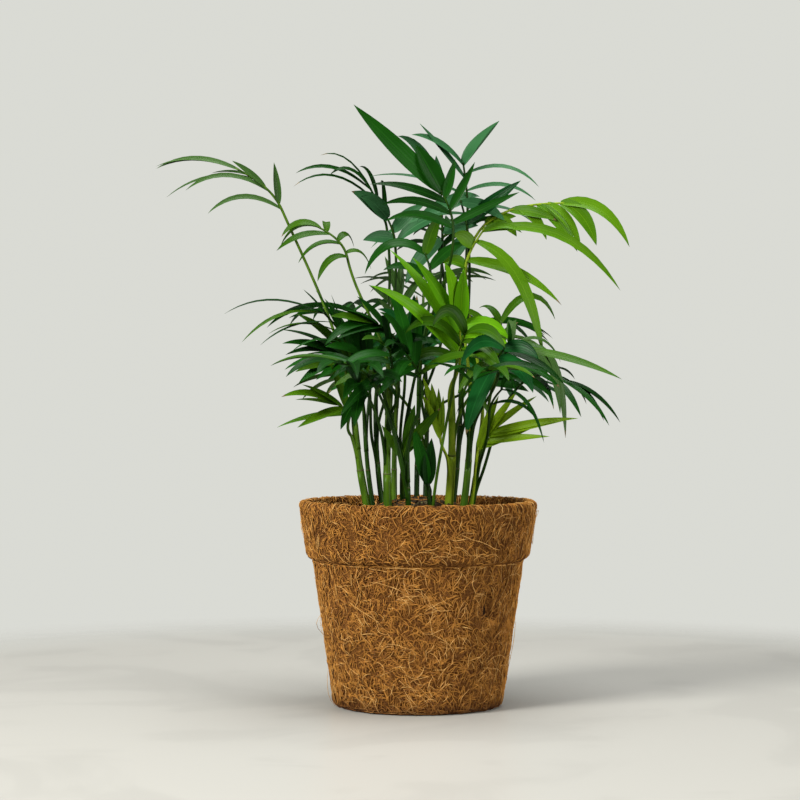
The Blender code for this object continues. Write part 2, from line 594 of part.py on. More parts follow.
def rib_line(frond, sway, away):
    """The middle line of a frond's stalk and rib, with its radii. sway moves the stalk's middle aside."""
    root, root_way, root_radius = root_of(frond, away)
    knee, tip = Vector(frond.knee) * MM, Vector(frond.tip) * MM
    chord = (tip - knee).normalized()
    rise = (UP - chord * UP.dot(chord)).normalized()
    start, end = math.radians(frond.arch), math.radians(frond.arch) * END_ARCH
    knee_way = chord * math.cos(start) + rise * math.sin(start)
    tip_way = chord * math.cos(end) - rise * math.sin(end)
    reach = (knee - root).length * HANDLE
    low, high = root + root_way * reach + sway, knee - knee_way * reach + sway
    stalk = interpolate_bezier(root, low, high, knee, STALK_STEPS + 1)
    reach = (tip - knee).length * HANDLE
    rib = interpolate_bezier(knee, knee + knee_way * reach, tip - tip_way * reach, tip, RIB_STEPS + 1)
    radii = [
        root_radius + (KNEE_RADIUS * MM - root_radius) * step / STALK_STEPS for step in range(STALK_STEPS + 1)
    ]
    radii += [
        (KNEE_RADIUS + (RIB_TIP_RADIUS - KNEE_RADIUS) * step / RIB_STEPS) * MM
        for step in range(1, RIB_STEPS + 1)
    ]
    return stalk + rib[1:], radii


def sways():
    """The ways in which a stalk may lean aside to pass its neighbours, the least first."""
    yield Vector((0, 0, 0))
    for size in (3, 6, 9, 12, 16, 20):
        for turn in range(8):
            angle = math.tau * turn / 8
            yield Vector((math.cos(angle), math.sin(angle), 0)) * size * MM


def place_rib(name, frond, room):
    """Finds a frond's stalk and rib a clear way through the plant, and returns its line and radii."""
    bearer = Room()
    bearer.add(frond.cane, cane_solid(CANES[frond.cane]))
    for sway in sways():
        for step in range(AWAY_STEPS):
            line, radii = rib_line(frond, sway, (LEAST_AWAY + AWAY_STEP * step) * MM)
            snug = tube(line, [radius + 2 * CLEAR for radius in radii], STALK_SIDES)
            if frond.leaves_at == 1 or bearer.is_free(snug):
                break
        loose = tube(line, [radius + 2 * SAFE * MM for radius in radii], STALK_SIDES)
        if room.is_free(loose, (frond.cane,)) and room.is_free(tube(line, radii, STALK_SIDES)):
            room.add(name, tube(line, radii, STALK_SIDES))
            return line, radii
    print(name, "finds no way through its neighbours")
    return None


def rib_place(line, share):
    """The point at a share of the rib, from its first leaflets to its last, and the way that it runs."""
    place = STALK_STEPS + share * RIB_STEPS
    index = min(int(place), len(line) - 2)
    return line[index].lerp(line[index + 1], place - index), way_along(line, round(place))


def turns():
    """The changes to a leaflet that may be tried: its length's share and two angles, the least first."""
    for length in (1.0, 0.85, 0.7):
        for lift in (0, 9, -9, 18, -18):
            for swing in (0, 8, -8, 16, -16):
                yield length, swing, lift


def leaflet_lines(name, frond, line):
    """Every leaflet of a frond: a function that gives its changed middle line, its face and its width."""
    chance = random.Random(name)
    face = Vector(frond.face).normalized()
    for place in range(frond.pairs + 1):
        last = place == frond.pairs
        share = place / frond.pairs if frond.pairs else 1.0
        for side in (-1, 1):
            stagger = 0 if last else 0.16 * (side + 1) / max(frond.pairs, 1)
            root, way = rib_place(line, min(share + stagger, LAST_PLACE))
            across = way.cross(face).normalized()
            over = across.cross(way)
            side_of = frond.right if side > 0 else frond.left
            reach, spread, droop = (
                pair[side > 0] if last else pair[0] + (pair[1] - pair[0]) * share * 1.25
                for pair in (frond.end if last else side_of)
            )
            angle = spread + chance.uniform(-5, 5)
            length = reach * chance.uniform(0.88, 1.05)
            width = (frond.end_width if last else frond.width) * chance.uniform(0.92, 1.08)
            droop *= chance.uniform(0.8, 1.25)
            leaf_face = (face + UP * frond.level * chance.uniform(0.6, 1.4)).normalized()

            def shaped(change, side=side, root=root, way=way, across=across, over=over, angle=angle):
                scale, swing, lift = change
                aim = math.radians(angle + swing)
                rise = math.radians(8 + lift)
                flat = way * math.cos(aim) + across * side * math.sin(aim)
                start = flat * math.cos(rise) + over * math.sin(rise)
                return drooping_line(root, start, length * scale * MM, droop)

            yield shaped, leaf_face, width


def place_leaflets(name, frond, line, room):
    """A frond's leaflets as solids. One that would touch a neighbour is turned or shortened, or left out."""
    placed = []
    for shaped, face, width in leaflet_lines(name, frond, line):
        for change in turns():
            middle = shaped(change)
            if room.is_free(leaf_solid(middle, face, width, SAFE * MM), (name,)):
                placed.append(leaf_solid(middle, face, width))
                room.add(name, placed[-1])
                break
    return placed


def fused(name, rib, leaflets, material):
    """A frond as one closed body: its leaflets joined to its stalk and rib."""
    obj = add_object(name, mesh_of(name, rib), material)
    helpers = bpy.data.collections.new(name + "_leaflets")
    bpy.context.scene.collection.children.link(helpers)
    for number, leaflet in enumerate(leaflets):
        helper = bpy.data.objects.new(f"{name}_{number}", mesh_of(f"{name}_{number}", leaflet))
        helpers.objects.link(helper)
    join = obj.modifiers.new("join", "BOOLEAN")
    join.operation = "UNION"
    join.operand_type = "COLLECTION"
    join.collection = helpers
    graph = bpy.context.evaluated_depsgraph_get()
    joined = bpy.data.meshes.new_from_object(obj.evaluated_get(graph))
    obj.modifiers.clear()
    obj.data = joined
    joined.name = name
    joined.materials.clear()
    joined.materials.append(material)
    for helper in list(helpers.objects):
        bpy.data.objects.remove(helper)
    bpy.data.collections.remove(helpers)
    return obj


def main():
    for obj in list(bpy.data.objects):
        bpy.data.objects.remove(obj)
    make_pot(finish("pot", COIR, FIBRE_ROUGHNESS))
    make_compost(finish("compost", COMPOST, FIBRE_ROUGHNESS))
    room = Room()
    for name, cane in CANES.items():
        solid = cane_solid(cane)
        room.add(name, solid)
        add_object(name, mesh_of(name, solid), finish(name, CANE_GREEN, LEAF_ROUGHNESS))
    ribs = {name: place_rib(name, frond, room) for name, frond in FRONDS.items()}
    for name, frond in FRONDS.items():
        if not ribs[name]:
            continue
        line, radii = ribs[name]
        leaflets = place_leaflets(name, frond, line, room)
        fused(name, tube(line, radii, STALK_SIDES), leaflets, finish(name, TINTS[frond.tint], LEAF_ROUGHNESS))
        print(name, len(leaflets), "leaflets of", 2 * frond.pairs + 2)


main()
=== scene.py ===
# %% [markdown]
# A young bamboo palm, the small parlour kind, stands in a pot of pressed coconut fibre. The solids that
# were built before this script are its frame: a pot, the compost, fourteen canes and forty-three fronds,
# all plain. This lesson dresses them. Every new piece is worked out from the same few sizes, so it sits
# where its solid sits, and the solid that it stands for is hidden.

# %% Load the frame and measure it
import math
import random
from functools import partial
from typing import NamedTuple

import bpy
import numpy as np
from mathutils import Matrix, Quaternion, Vector
from mathutils.geometry import interpolate_bezier
from mathutils.kdtree import KDTree


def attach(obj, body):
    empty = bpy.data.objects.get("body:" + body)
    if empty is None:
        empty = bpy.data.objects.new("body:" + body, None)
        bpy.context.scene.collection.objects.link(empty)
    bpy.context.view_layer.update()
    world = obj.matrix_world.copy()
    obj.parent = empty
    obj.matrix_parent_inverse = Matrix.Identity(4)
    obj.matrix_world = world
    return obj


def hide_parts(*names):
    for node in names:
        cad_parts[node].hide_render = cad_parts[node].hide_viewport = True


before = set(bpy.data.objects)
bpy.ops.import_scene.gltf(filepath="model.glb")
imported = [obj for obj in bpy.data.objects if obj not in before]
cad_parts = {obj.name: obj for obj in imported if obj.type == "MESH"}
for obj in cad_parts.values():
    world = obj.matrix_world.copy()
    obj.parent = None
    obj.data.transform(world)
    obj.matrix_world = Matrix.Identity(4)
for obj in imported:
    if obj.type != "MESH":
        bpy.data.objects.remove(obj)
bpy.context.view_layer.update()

MM = 0.001
UP = Vector((0, 0, 1))
print("solids in the frame:", len(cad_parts))

# %% [markdown]
# The camera comes first, so that every later step can be judged through it. The picture was taken from low
# down and a long way off, which shows in the pot's rim: it is a very flat oval. A long lens at the same
# distance gives that oval. The picture is square, so one side of the film decides the field of view.

# %% Camera
CAMERA_AWAY = 1.5  # metres from the pot's axis
CAMERA_ASIDE = -0.0115
CAMERA_HEIGHT = 0.205
CAMERA_DOWN = math.radians(0.4)
FILM_SIDE = 36  # in millimetres, as the lens
LENS = 105.75


def add_camera():
    camera = bpy.data.objects.new("camera", bpy.data.cameras.new("camera"))
    bpy.context.scene.collection.objects.link(camera)
    camera.location = (CAMERA_ASIDE, -CAMERA_AWAY, CAMERA_HEIGHT)
    camera.rotation_euler = (math.radians(90) - CAMERA_DOWN, 0, 0)
    camera.data.sensor_fit = "HORIZONTAL"
    camera.data.sensor_width = FILM_SIDE
    camera.data.lens = LENS
    bpy.context.scene.camera = camera


add_camera()
print("the camera sees", round(FILM_SIDE / LENS * CAMERA_AWAY, 3), "m across at the pot")

# %% [markdown]
# Light and finishes are wired from small boxes called nodes, and adding one takes several lines in Python.
# The first helper adds a node, sets its options and fills its sockets in one call: a socket that is given
# another node's output is linked to it, and one that is given a number or a colour just holds that. The
# others add the kinds of node that nearly every finish needs, and return the output that is read on.

# %% Helpers that wire nodes


def add_node(tree, kind, inputs=None, **options):
    made = tree.nodes.new(kind)
    for option, value in options.items():
        setattr(made, option, value)
    for socket, value in (inputs or {}).items():
        if isinstance(value, bpy.types.NodeSocket):
            tree.links.new(value, made.inputs[socket])
        else:
            made.inputs[socket].default_value = value
    return made


def own_place(tree):
    """Where a point lies in its piece's own coordinates, in metres."""
    return add_node(tree, "ShaderNodeTexCoord").outputs["Object"]


def worked_out(tree, operation, *values, **options):
    """A number worked out from one or two others."""
    made = add_node(tree, "ShaderNodeMath", dict(enumerate(values)), operation=operation, **options)
    return made.outputs["Value"]


def rescaled(tree, value, start, end, first=0, last=1, easing="LINEAR"):
    """A number that goes from first to last while a value goes from start to end."""
    ends = {"Value": value, "From Min": start, "From Max": end, "To Min": first, "To Max": last}
    return add_node(tree, "ShaderNodeMapRange", ends, interpolation_type=easing).outputs["Result"]


def mixed(tree, share, first, second, blend_type="MIX"):
    """A colour between two colours, by a share that is another node's output."""
    sockets = {0: share, 6: first, 7: second}
    return add_node(tree, "ShaderNodeMix", sockets, data_type="RGBA", blend_type=blend_type).outputs[2]


def opaque(colour, strength=1.0):
    return (*[channel * strength for channel in colour], 1)


# %% [markdown]
# Light in a pale room comes from everywhere, and more of it from the window and the ceiling. A pale world
# gives the first and three broad lamps the second. The world looks brighter to the camera than it shines,
# so the background stays pale while the inside of the crown can still fall into deep green shade.

# %% Light
ROOM_COLOUR = (0.700, 0.706, 0.660)
ROOM_SHINE = 0.23
PLANT_MIDDLE = (0, 0, 0.18)
LAMPS = {  # each one's place and side in metres, its power in watts and its colour
    "window": ((-1.40, -1.20, 1.10), 0.7, 68, (1.0, 0.985, 0.95)),
    "ceiling": ((0.15, 0.05, 2.0), 1.2, 41, (0.98, 0.99, 1.0)),
    "fill on the right": ((1.40, -1.00, 0.45), 0.8, 23, (1.0, 0.99, 0.96)),
}


def add_room_light():
    """A world that shines dimly, and that the camera sees at full brightness."""
    world = bpy.data.worlds.new("pale room")
    bpy.context.scene.world = world
    world.use_nodes = True
    tree = world.node_tree
    shine = tree.nodes["Background"]
    shine.inputs["Color"].default_value = opaque(ROOM_COLOUR)
    shine.inputs["Strength"].default_value = ROOM_SHINE
    seen = add_node(tree, "ShaderNodeBackground", {"Color": opaque(ROOM_COLOUR)})
    to_camera = add_node(tree, "ShaderNodeLightPath").outputs["Is Camera Ray"]
    sockets = {"Fac": to_camera, 1: shine.outputs["Background"], 2: seen.outputs["Background"]}
    choice = add_node(tree, "ShaderNodeMixShader", sockets)
    tree.links.new(choice.outputs["Shader"], tree.nodes["World Output"].inputs["Surface"])


def add_lamp(name, place, side, power, colour):
    """A square soft lamp that looks at the middle of the plant."""
    light = bpy.data.lights.new(name, "AREA")
    light.shape = "SQUARE"
    light.size = side
    light.energy = power
    light.color = colour
    lamp = bpy.data.objects.new(name, light)
    bpy.context.scene.collection.objects.link(lamp)
    lamp.location = place
    lamp.rotation_euler = (Vector(PLANT_MIDDLE) - Vector(place)).to_track_quat("-Z", "Y").to_euler()


add_room_light()
for name, lamp in LAMPS.items():
    add_lamp(name, *lamp)
bpy.context.scene.view_settings.view_transform = "Standard"
print("lamps:", list(LAMPS))

# %% [markdown]
# Every finish here is one Principled shader. What is the same all over a surface is set on the shader's own
# sockets, and what changes over it is linked to them. An effect that several finishes share is wired once,
# as a group with named inputs, and placed in each finish with values of its own.

# %% Helpers for finishes


def new_material(name, roughness, **plain):
    """A material with a Principled shader. What is the same all over is set on the shader's own sockets."""
    material = bpy.data.materials.new(name)
    material.use_nodes = True
    shader = material.node_tree.nodes["Principled BSDF"]
    shader.inputs["Roughness"].default_value = roughness
    for socket, value in plain.items():
        shader.inputs[socket.replace("_", " ")].default_value = value
    return material, material.node_tree, shader


def add_bump(tree, shader, height, strength, distance):
    """Shades a surface as if it rose and fell with a height, which is finer than its mesh can be."""
    sockets = {"Height": height, "Strength": strength, "Distance": distance}
    bump = add_node(tree, "ShaderNodeBump", sockets)
    tree.links.new(bump.outputs["Normal"], shader.inputs["Normal"])


def new_group(name, inputs, outputs):
    """A shader node group. Each input is its name and value, and each output is the name of a number."""
    tree = bpy.data.node_groups.new(name, "ShaderNodeTree")
    for socket, value in inputs.items():
        made = tree.interface.new_socket(socket, in_out="INPUT", socket_type="NodeSocketFloat")
        made.default_value = value
    for socket in outputs:
        tree.interface.new_socket(socket, in_out="OUTPUT", socket_type="NodeSocketFloat")
    return tree, tree.nodes.new("NodeGroupInput").outputs, tree.nodes.new("NodeGroupOutput")


def place_group(tree, group, **inputs):
    made = tree.nodes.new("ShaderNodeGroup")
    made.node_tree = group
    for socket, value in inputs.items():
        made.inputs[socket].default_value = value
    return made.outputs


# %% [markdown]
# The floor is a wide disc of pale, slightly glossy stone. It fades out far from the pot, because a floor
# with an edge would end in a hard line, which would show in every view.

# %% Floor
FLOOR_RADIUS = 0.9
FLOOR_SIDES = 96
FLOOR_SOLID = 0.37  # how far from the pot it starts to fade, and how far from it nothing is left
FLOOR_GONE = 0.60
FLOOR_COLOUR = (0.420, 0.412, 0.378)
FLOOR_ROUGHNESS = 0.36
FLOOR_GLOSS = 0.12
STONE_CLOUDS = {"Scale": 7.0, "Detail": 6.0, "Distortion": 1.2}
STONE_VEINS = (0.47, 0.60)  # the part of the clouds in which the stone turns to vein
VEIN_SHADE = 0.94  # how light a vein is against the stone


def floor_material():
    material, tree, shader = new_material("pale stone", FLOOR_ROUGHNESS, Specular_IOR_Level=FLOOR_GLOSS)
    place = own_place(tree)
    clouds = add_node(tree, "ShaderNodeTexNoise", {"Vector": place, **STONE_CLOUDS}).outputs["Fac"]
    vein = rescaled(tree, clouds, *STONE_VEINS, easing="SMOOTHSTEP")
    stone = mixed(tree, vein, opaque(FLOOR_COLOUR), opaque(FLOOR_COLOUR, VEIN_SHADE))
    tree.links.new(stone, shader.inputs["Base Color"])
    away = add_node(tree, "ShaderNodeVectorMath", {0: place}, operation="LENGTH").outputs["Value"]
    left = rescaled(tree, away, FLOOR_SOLID, FLOOR_GONE, 1, 0, easing="SMOOTHSTEP")
    tree.links.new(left, shader.inputs["Alpha"])
    return material


def add_floor():
    bpy.ops.object.select_all(action="DESELECT")
    bpy.ops.mesh.primitive_circle_add(vertices=FLOOR_SIDES, radius=FLOOR_RADIUS, fill_type="NGON")
    floor = bpy.context.active_object
    floor.name = "floor"
    floor.data.materials.append(floor_material())


add_floor()
print("floor radius in m:", FLOOR_RADIUS)

# %% [markdown]
# The plant is described by two tables, the same that its solids were made from. They are written down again
# here, because a rule needs its sizes. A cane has a foot, a tip and two radii. A frond has its bearer, the
# two ends of its rib, the way that it faces, and the lengths, angles and droop of its leaflets.

# %% What a cane and a frond are described by


class Cane(NamedTuple):
    """A cane: where it stands on the compost, where its tip is, and its radius at both ends."""

    foot: tuple
    tip: tuple
    foot_radius: float
    tip_radius: float


class Leaflets(NamedTuple):
    """How long some leaflets are, their angle with the rib in degrees, and how much they droop. Along a side
    each is a pair for the first leaflet and the last, and at the rib's end a pair for the left and right."""

    reach: tuple
    spread: tuple
    droop: tuple


class Frond(NamedTuple):
    """A frond: its cane, how far up that its stalk leaves it, the places of its first and last leaflets, how
    many degrees its rib arches, the way that its upper side faces, how far its leaflets lie level instead,
    and its leaflets. Left and right are as seen from above, looking from the first leaflets to the last."""

    cane: str
    leaves_at: float
    knee: tuple
    tip: tuple
    arch: float
    face: tuple
    level: float
    pairs: int
    left: Leaflets
    right: Leaflets
    width: float
    end: Leaflets
    end_width: float
    tint: str


print("a frond is described by:", ", ".join(Frond._fields))

# %% The canes and the fronds, in millimetres
CANES = {
    "cane_01": Cane((-31, -10), (-40, -12, 178), 2.9, 2.0),
    "cane_02": Cane((-28, 10), (-34, 14, 176), 1.9, 1.4),
    "cane_03": Cane((-22, -3), (-27, 2, 186), 2.1, 1.5),
    "cane_04": Cane((-19, -17), (-18, -15, 200), 3.1, 2.1),
    "cane_05": Cane((-15, 17), (-13, 21, 204), 2.2, 1.5),
    "cane_06": Cane((-9, -5), (-8, -8, 172), 2.9, 1.9),
    "cane_07": Cane((-1, 12), (1, 13, 212), 2.0, 1.4),
    "cane_08": Cane((8, -20), (7, -21, 134), 1.9, 1.5),
    "cane_09": Cane((19, -7), (21, -8, 196), 3.4, 2.2),
    "cane_10": Cane((22, 16), (28, 18, 206), 2.2, 1.5),
    "cane_11": Cane((28, -14), (33, -18, 190), 2.8, 1.8),
    "cane_12": Cane((33, 3), (39, 3, 166), 2.7, 1.8),
    "cane_13": Cane((5, 29), (6, 36, 188), 2.2, 1.5),
    "cane_14": Cane((-6, -27), (-7, -32, 158), 2.1, 1.5),
}

FRONDS = {
    # The tall fronds, from left to right
    "top_left": Frond(
        "cane_07", 1.0, (22, -20, 303), (14, -20, 327), 16, (1, -10, 1), 0.3, 3,
        Leaflets((46, 52), (62, 40), (0.9, 0.4)), Leaflets((50, 20), (60, 30), (0.0, 0.2)), 6.0,
        Leaflets((76, 34), (19, 2), (0.0, 0.1)), 11.5, "deep",
    ),
    "far_left": Frond(
        "cane_01", 1.0, (-87, 5, 316), (-117, 5, 343), 24, (3, -10, 4), 0.8, 3,
        Leaflets((56, 66), (36, 22), (1.2, 0.8)), Leaflets((29, 26), (18, -30), (0.0, 0.6)), 5.2,
        Leaflets((56, 56), (14, -16), (0.9, 0.7)), 5.2, "mid",
    ),
    "left_dark": Frond(
        "cane_03", 0.7, (-38, -6, 217), (-50, -12, 224), 16, (1, -10, 6), 0.5, 3,
        Leaflets((50, 50), (58, 36), (0.2, 0.3)), Leaflets((46, 48), (18, 8), (0.4, 0.4)), 8.0,
        Leaflets((50, 46), (16, -6), (0.4, 0.4)), 8.0, "deep",
    ),
    "upper_left": Frond(
        "cane_05", 0.8, (-20, 20, 305), (-31, 16, 331), 16, (3, -10, 2), 1.2, 2,
        Leaflets((84, 74), (18, 24), (1.3, 0.9)), Leaflets((34, 30), (16, 10), (1.0, 1.0)), 4.2,
        Leaflets((66, 38), (26, -8), (1.0, 1.6)), 5.0, "deep",
    ),
    "broad_left": Frond(
        "cane_03", 1.0, (-15, 0, 297), (-20, -5, 311), 16, (2, -10, 2), 0.1, 1,
        Leaflets((24, 24), (75, 75), (0.8, 0.8)), Leaflets((30, 30), (50, 50), (0.6, 0.6)), 8.0,
        Leaflets((42, 32), (14, -10), (0.7, 0.6)), 11.0, "blue",
    ),
    "top_right": Frond(
        "cane_10", 1.0, (32, 14, 314), (29, 10, 347), 10, (0, -10, 3), 1.0, 3,
        Leaflets((74, 50), (88, 22), (1.0, -0.1)), Leaflets((44, 54), (76, 66), (0.9, 1.3)), 4.6,
        Leaflets((47, 37), (36, 42), (0.7, 0.0)), 10.0, "blue",
    ),
    "top_ovals": Frond(
        "cane_10", 0.85, (32, 4, 300), (27, 0, 322), 10, (0, -10, 3), 0.0, 1,
        Leaflets((30, 30), (135, 135), (0.5, 0.5)), Leaflets((50, 50), (62, 62), (0.0, 0.0)), 10.0,
        Leaflets((34, 30), (80, 112), (0.9, 1.0)), 8.5, "blue",
    ),
    "bright_high": Frond(
        "cane_12", 1.0, (43, 4, 307), (95, -2, 320), 24, (0, -10, 3), 0.1, 3,
        Leaflets((22, 44), (-20, -44), (0.4, 1.0)), Leaflets((20, 44), (38, 42), (1.6, 2.2)), 7.6,
        Leaflets((56, 40), (0, 22), (1.9, 2.4)), 9.0, "bright",
    ),
    "bright_low": Frond(
        "cane_11", 1.0, (30, -6, 279), (42, -10, 303), 16, (2, -10, 3), 0.3, 2,
        Leaflets((16, 16), (70, 60), (1.2, 0.8)), Leaflets((73, 96), (76, 84), (1.0, 5.6)), 9.5,
        Leaflets((100, 26), (-42, 30), (2.1, 1.2)), 6.5, "bright",
    ),
    "centre_bright": Frond(
        "cane_09", 1.0, (26, -32, 222), (26, -36, 244), 16, (1, -10, 2), 0.2, 3,
        Leaflets((84, 64), (38, 24), (0.5, 0.4)), Leaflets((38, 36), (76, 60), (1.6, 1.4)), 7.8,
        Leaflets((48, 42), (14, 0), (0.5, 0.3)), 8.0, "bright",
    ),
    # The middle and the low part of the crown
    "left_small": Frond(
        "cane_04", 1.0, (-45, -5, 285), (-64, 0, 305), 32, (3, -10, 6), 0.9, 3,
        Leaflets((28, 40), (66, 36), (2.2, 1.2)), Leaflets((26, 16), (80, 50), (2.6, 1.8)), 5.5,
        Leaflets((32, 28), (16, -10), (1.8, 1.8)), 6.0, "fresh",
    ),
    "mid_arch": Frond(
        "cane_06", 1.0, (8, -12, 272), (4, -10, 288), 16, (3, -10, 3), 0.5, 1,
        Leaflets((34, 34), (62, 62), (1.0, 1.0)), Leaflets((30, 30), (50, 50), (0.8, 0.8)), 7.5,
        Leaflets((50, 34), (40, 30), (2.6, 0.8)), 9.0, "deep",
    ),
    "middle_high": Frond(
        "cane_07", 0.85, (16, 26, 298), (15, 20, 330), 10, (-2, -10, 2), 0.4, 2,
        Leaflets((38, 38), (125, 95), (1.0, 0.8)), Leaflets((26, 26), (75, 60), (0.4, 0.4)), 11.0,
        Leaflets((56, 30), (12, -4), (1.0, 0.3)), 7.5, "blue",
    ),
    "left_middle": Frond(
        "cane_14", 0.9, (-27, -22, 212), (-35, -28, 224), 16, (2, -10, 4), 0.6, 2,
        Leaflets((34, 36), (70, 40), (0.6, 0.6)), Leaflets((30, 32), (50, 30), (0.6, 0.6)), 8.0,
        Leaflets((34, 30), (20, 10), (0.5, 0.5)), 8.0, "deep",
    ),
    "centre_arch": Frond(
        "cane_08", 0.9, (24, -38, 220), (29, -45, 236), 16, (0, -10, 6), 0.6, 2,
        Leaflets((44, 44), (66, 50), (1.6, 1.4)), Leaflets((40, 40), (70, 50), (1.4, 1.2)), 8.0,
        Leaflets((40, 42), (46, 34), (1.6, 1.2)), 8.5, "fresh",
    ),
    "young": Frond(
        "cane_09", 0.45, (14, -20, 170), (12, -21, 180), 6, (0, -10, 1), 0.1, 2,
        Leaflets((30, 28), (12, 6), (0.1, 0.1)), Leaflets((26, 26), (12, 6), (0.1, 0.1)), 4.5,
        Leaflets((34, 30), (3, 5), (0.1, 0.1)), 5.0, "lime",
    ),
    "back_small": Frond(
        "cane_05", 1.0, (-10, 24, 240), (-12, 28, 262), 16, (2, -10, 3), 0.5, 2,
        Leaflets((28, 28), (50, 35), (0.3, 0.3)), Leaflets((28, 28), (50, 35), (0.3, 0.3)), 5.0,
        Leaflets((30, 28), (14, 14), (0.1, 0.1)), 5.5, "mid",
    ),
    "left_hub": Frond(
        "cane_02", 1.0, (-45, -16, 229), (-60, -20, 250), 16, (3, -10, 8), 1.2, 3,
        Leaflets((54, 66), (52, 46), (0.9, 0.9)), Leaflets((34, 28), (6, 2), (0.3, 0.2)), 4.4,
        Leaflets((82, 82), (46, -34), (1.0, 0.9)), 4.2, "deep",
    ),
    "left_over": Frond(
        "cane_06", 0.8, (-18, -28, 237), (-29, -34, 243), 16, (1, -10, 6), 0.5, 2,
        Leaflets((42, 44), (40, 30), (0.5, 0.5)), Leaflets((30, 34), (8, -6), (0.2, 0.2)), 7.0,
        Leaflets((48, 36), (24, -10), (0.8, 0.2)), 8.0, "deep",
    ),
    "low_left": Frond(
        "cane_01", 0.9, (-43, -14, 186), (-51, -20, 192), 16, (1, -10, 4), 0.4, 2,
        Leaflets((54, 48), (62, 28), (0.3, 0.2)), Leaflets((36, 36), (25, 10), (0.2, 0.2)), 7.0,
        Leaflets((42, 50), (18, 0), (0.2, 0.8)), 7.5, "fresh",
    ),
    "low_front_left": Frond(
        "cane_04", 0.6, (-32, -30, 199), (-38, -38, 206), 20, (1, -10, 6), 0.4, 2,
        Leaflets((34, 34), (80, 60), (1.6, 1.4)), Leaflets((32, 32), (110, 80), (2.6, 2.0)), 8.0,
        Leaflets((30, 30), (30, 40), (1.4, 1.8)), 8.0, "deep",
    ),
    "front": Frond(
        "cane_14", 1.0, (1, -40, 208), (-8, -52, 224), 16, (0, -10, 10), 0.3, 3,
        Leaflets((46, 46), (58, 44), (0.8, 0.8)), Leaflets((46, 46), (58, 44), (0.8, 0.8)), 8.0,
        Leaflets((42, 42), (16, 16), (0.8, 0.8)), 8.5, "deep",
    ),
    "front_upright": Frond(
        "cane_06", 0.5, (-10, -20, 158), (-8, -21, 165), 10, (1, -10, 1), 0.1, 1,
        Leaflets((30, 30), (24, 24), (0.1, 0.1)), Leaflets((26, 26), (30, 30), (0.1, 0.1)), 6.0,
        Leaflets((30, 36), (14, 14), (0.1, 0.1)), 7.0, "fresh",
    ),
    "seedling": Frond(
        "cane_08", 1.0, (7, -21, 138), (6, -21, 142), 0, (1, -10, 0), 0.0, 0,
        Leaflets((36, 36), (10, 10), (0.0, 0.0)), Leaflets((36, 36), (10, 10), (0.0, 0.0)), 7.0,
        Leaflets((40, 30), (-4, 18), (0.0, 0.0)), 8.0, "deep",
    ),
    "right_hub": Frond(
        "cane_11", 0.8, (50, -40, 212), (56, -48, 228), 16, (2, -10, 5), 0.7, 3,
        Leaflets((40, 36), (125, 70), (2.4, 1.2)), Leaflets((42, 46), (84, 70), (1.0, 0.8)), 6.5,
        Leaflets((24, 76), (20, 60), (0.8, 0.35)), 7.0, "deep",
    ),
    "right_arcs": Frond(
        "cane_09", 0.8, (50, -8, 229), (53, -4, 244), 16, (0, -10, 5), 1.0, 1,
        Leaflets((40, 40), (50, 50), (1.3, 1.3)), Leaflets((42, 42), (80, 80), (1.1, 1.1)), 5.0,
        Leaflets((24, 58), (40, 14), (1.2, 1.6)), 5.5, "fresh",
    ),
    "right_droop": Frond(
        "cane_12", 0.75, (58, -22, 229), (72, -26, 229), 55, (0, -6, 10), 0.3, 2,
        Leaflets((30, 32), (40, 30), (2.0, 2.0)), Leaflets((40, 36), (40, 26), (2.4, 2.6)), 6.5,
        Leaflets((70, 50), (4, 16), (11.0, 5.0)), 7.0, "mid",
    ),
    "right_arch": Frond(
        "cane_12", 0.55, (68, -10, 207), (93, -12, 206), 42, (0, -5, 10), 0.5, 3,
        Leaflets((30, 34), (36, 24), (1.9, 1.8)), Leaflets((44, 48), (44, 24), (1.6, 1.3)), 6.0,
        Leaflets((44, 42), (2, 12), (1.0, 1.3)), 6.5, "deep",
    ),
    "low_fan": Frond(
        "cane_12", 0.3, (38, -18, 163), (43, -20, 174), 10, (-2, -10, 2), 0.2, 3,
        Leaflets((34, 44), (8, -6), (0.1, 0.1)), Leaflets((40, 64), (70, 44), (0.1, 0.1)), 6.2,
        Leaflets((44, 66), (-22, 30), (0.2, 0.2)), 6.2, "lime",
    ),
    "right_broad": Frond(
        "cane_11", 0.95, (47, -50, 216), (53, -55, 227), 16, (2, -10, 3), 0.1, 1,
        Leaflets((46, 46), (152, 152), (1.6, 1.6)), Leaflets((34, 34), (80, 80), (2.0, 2.0)), 11.0,
        Leaflets((34, 30), (70, 30), (2.4, 1.2)), 8.0, "blue",
    ),
    "centre_left": Frond(
        "cane_04", 0.8, (-16, -36, 212), (-18, -44, 226), 16, (0, -10, 6), 0.5, 3,
        Leaflets((44, 44), (74, 50), (1.0, 1.0)), Leaflets((40, 40), (66, 40), (1.0, 1.0)), 8.5,
        Leaflets((36, 36), (24, 16), (0.8, 0.8)), 9.0, "deep",
    ),
    "right_thin": Frond(
        "cane_12", 0.45, (44, -40, 186), (52, -46, 202), 30, (0, -10, 4), 0.6, 1,
        Leaflets((26, 26), (30, 30), (1.2, 1.2)), Leaflets((40, 40), (50, 50), (1.6, 1.6)), 4.0,
        Leaflets((40, 50), (20, 40), (2.6, 3.4)), 4.0, "deep",
    ),
}

# %% [markdown]
# The fronds behind, low in front and deep inside the crown can't be told apart in the picture, so they are
# of two kinds, and each of them has both its sides alike. A function for each kind holds what they share.

# %% The fronds of two plain kinds


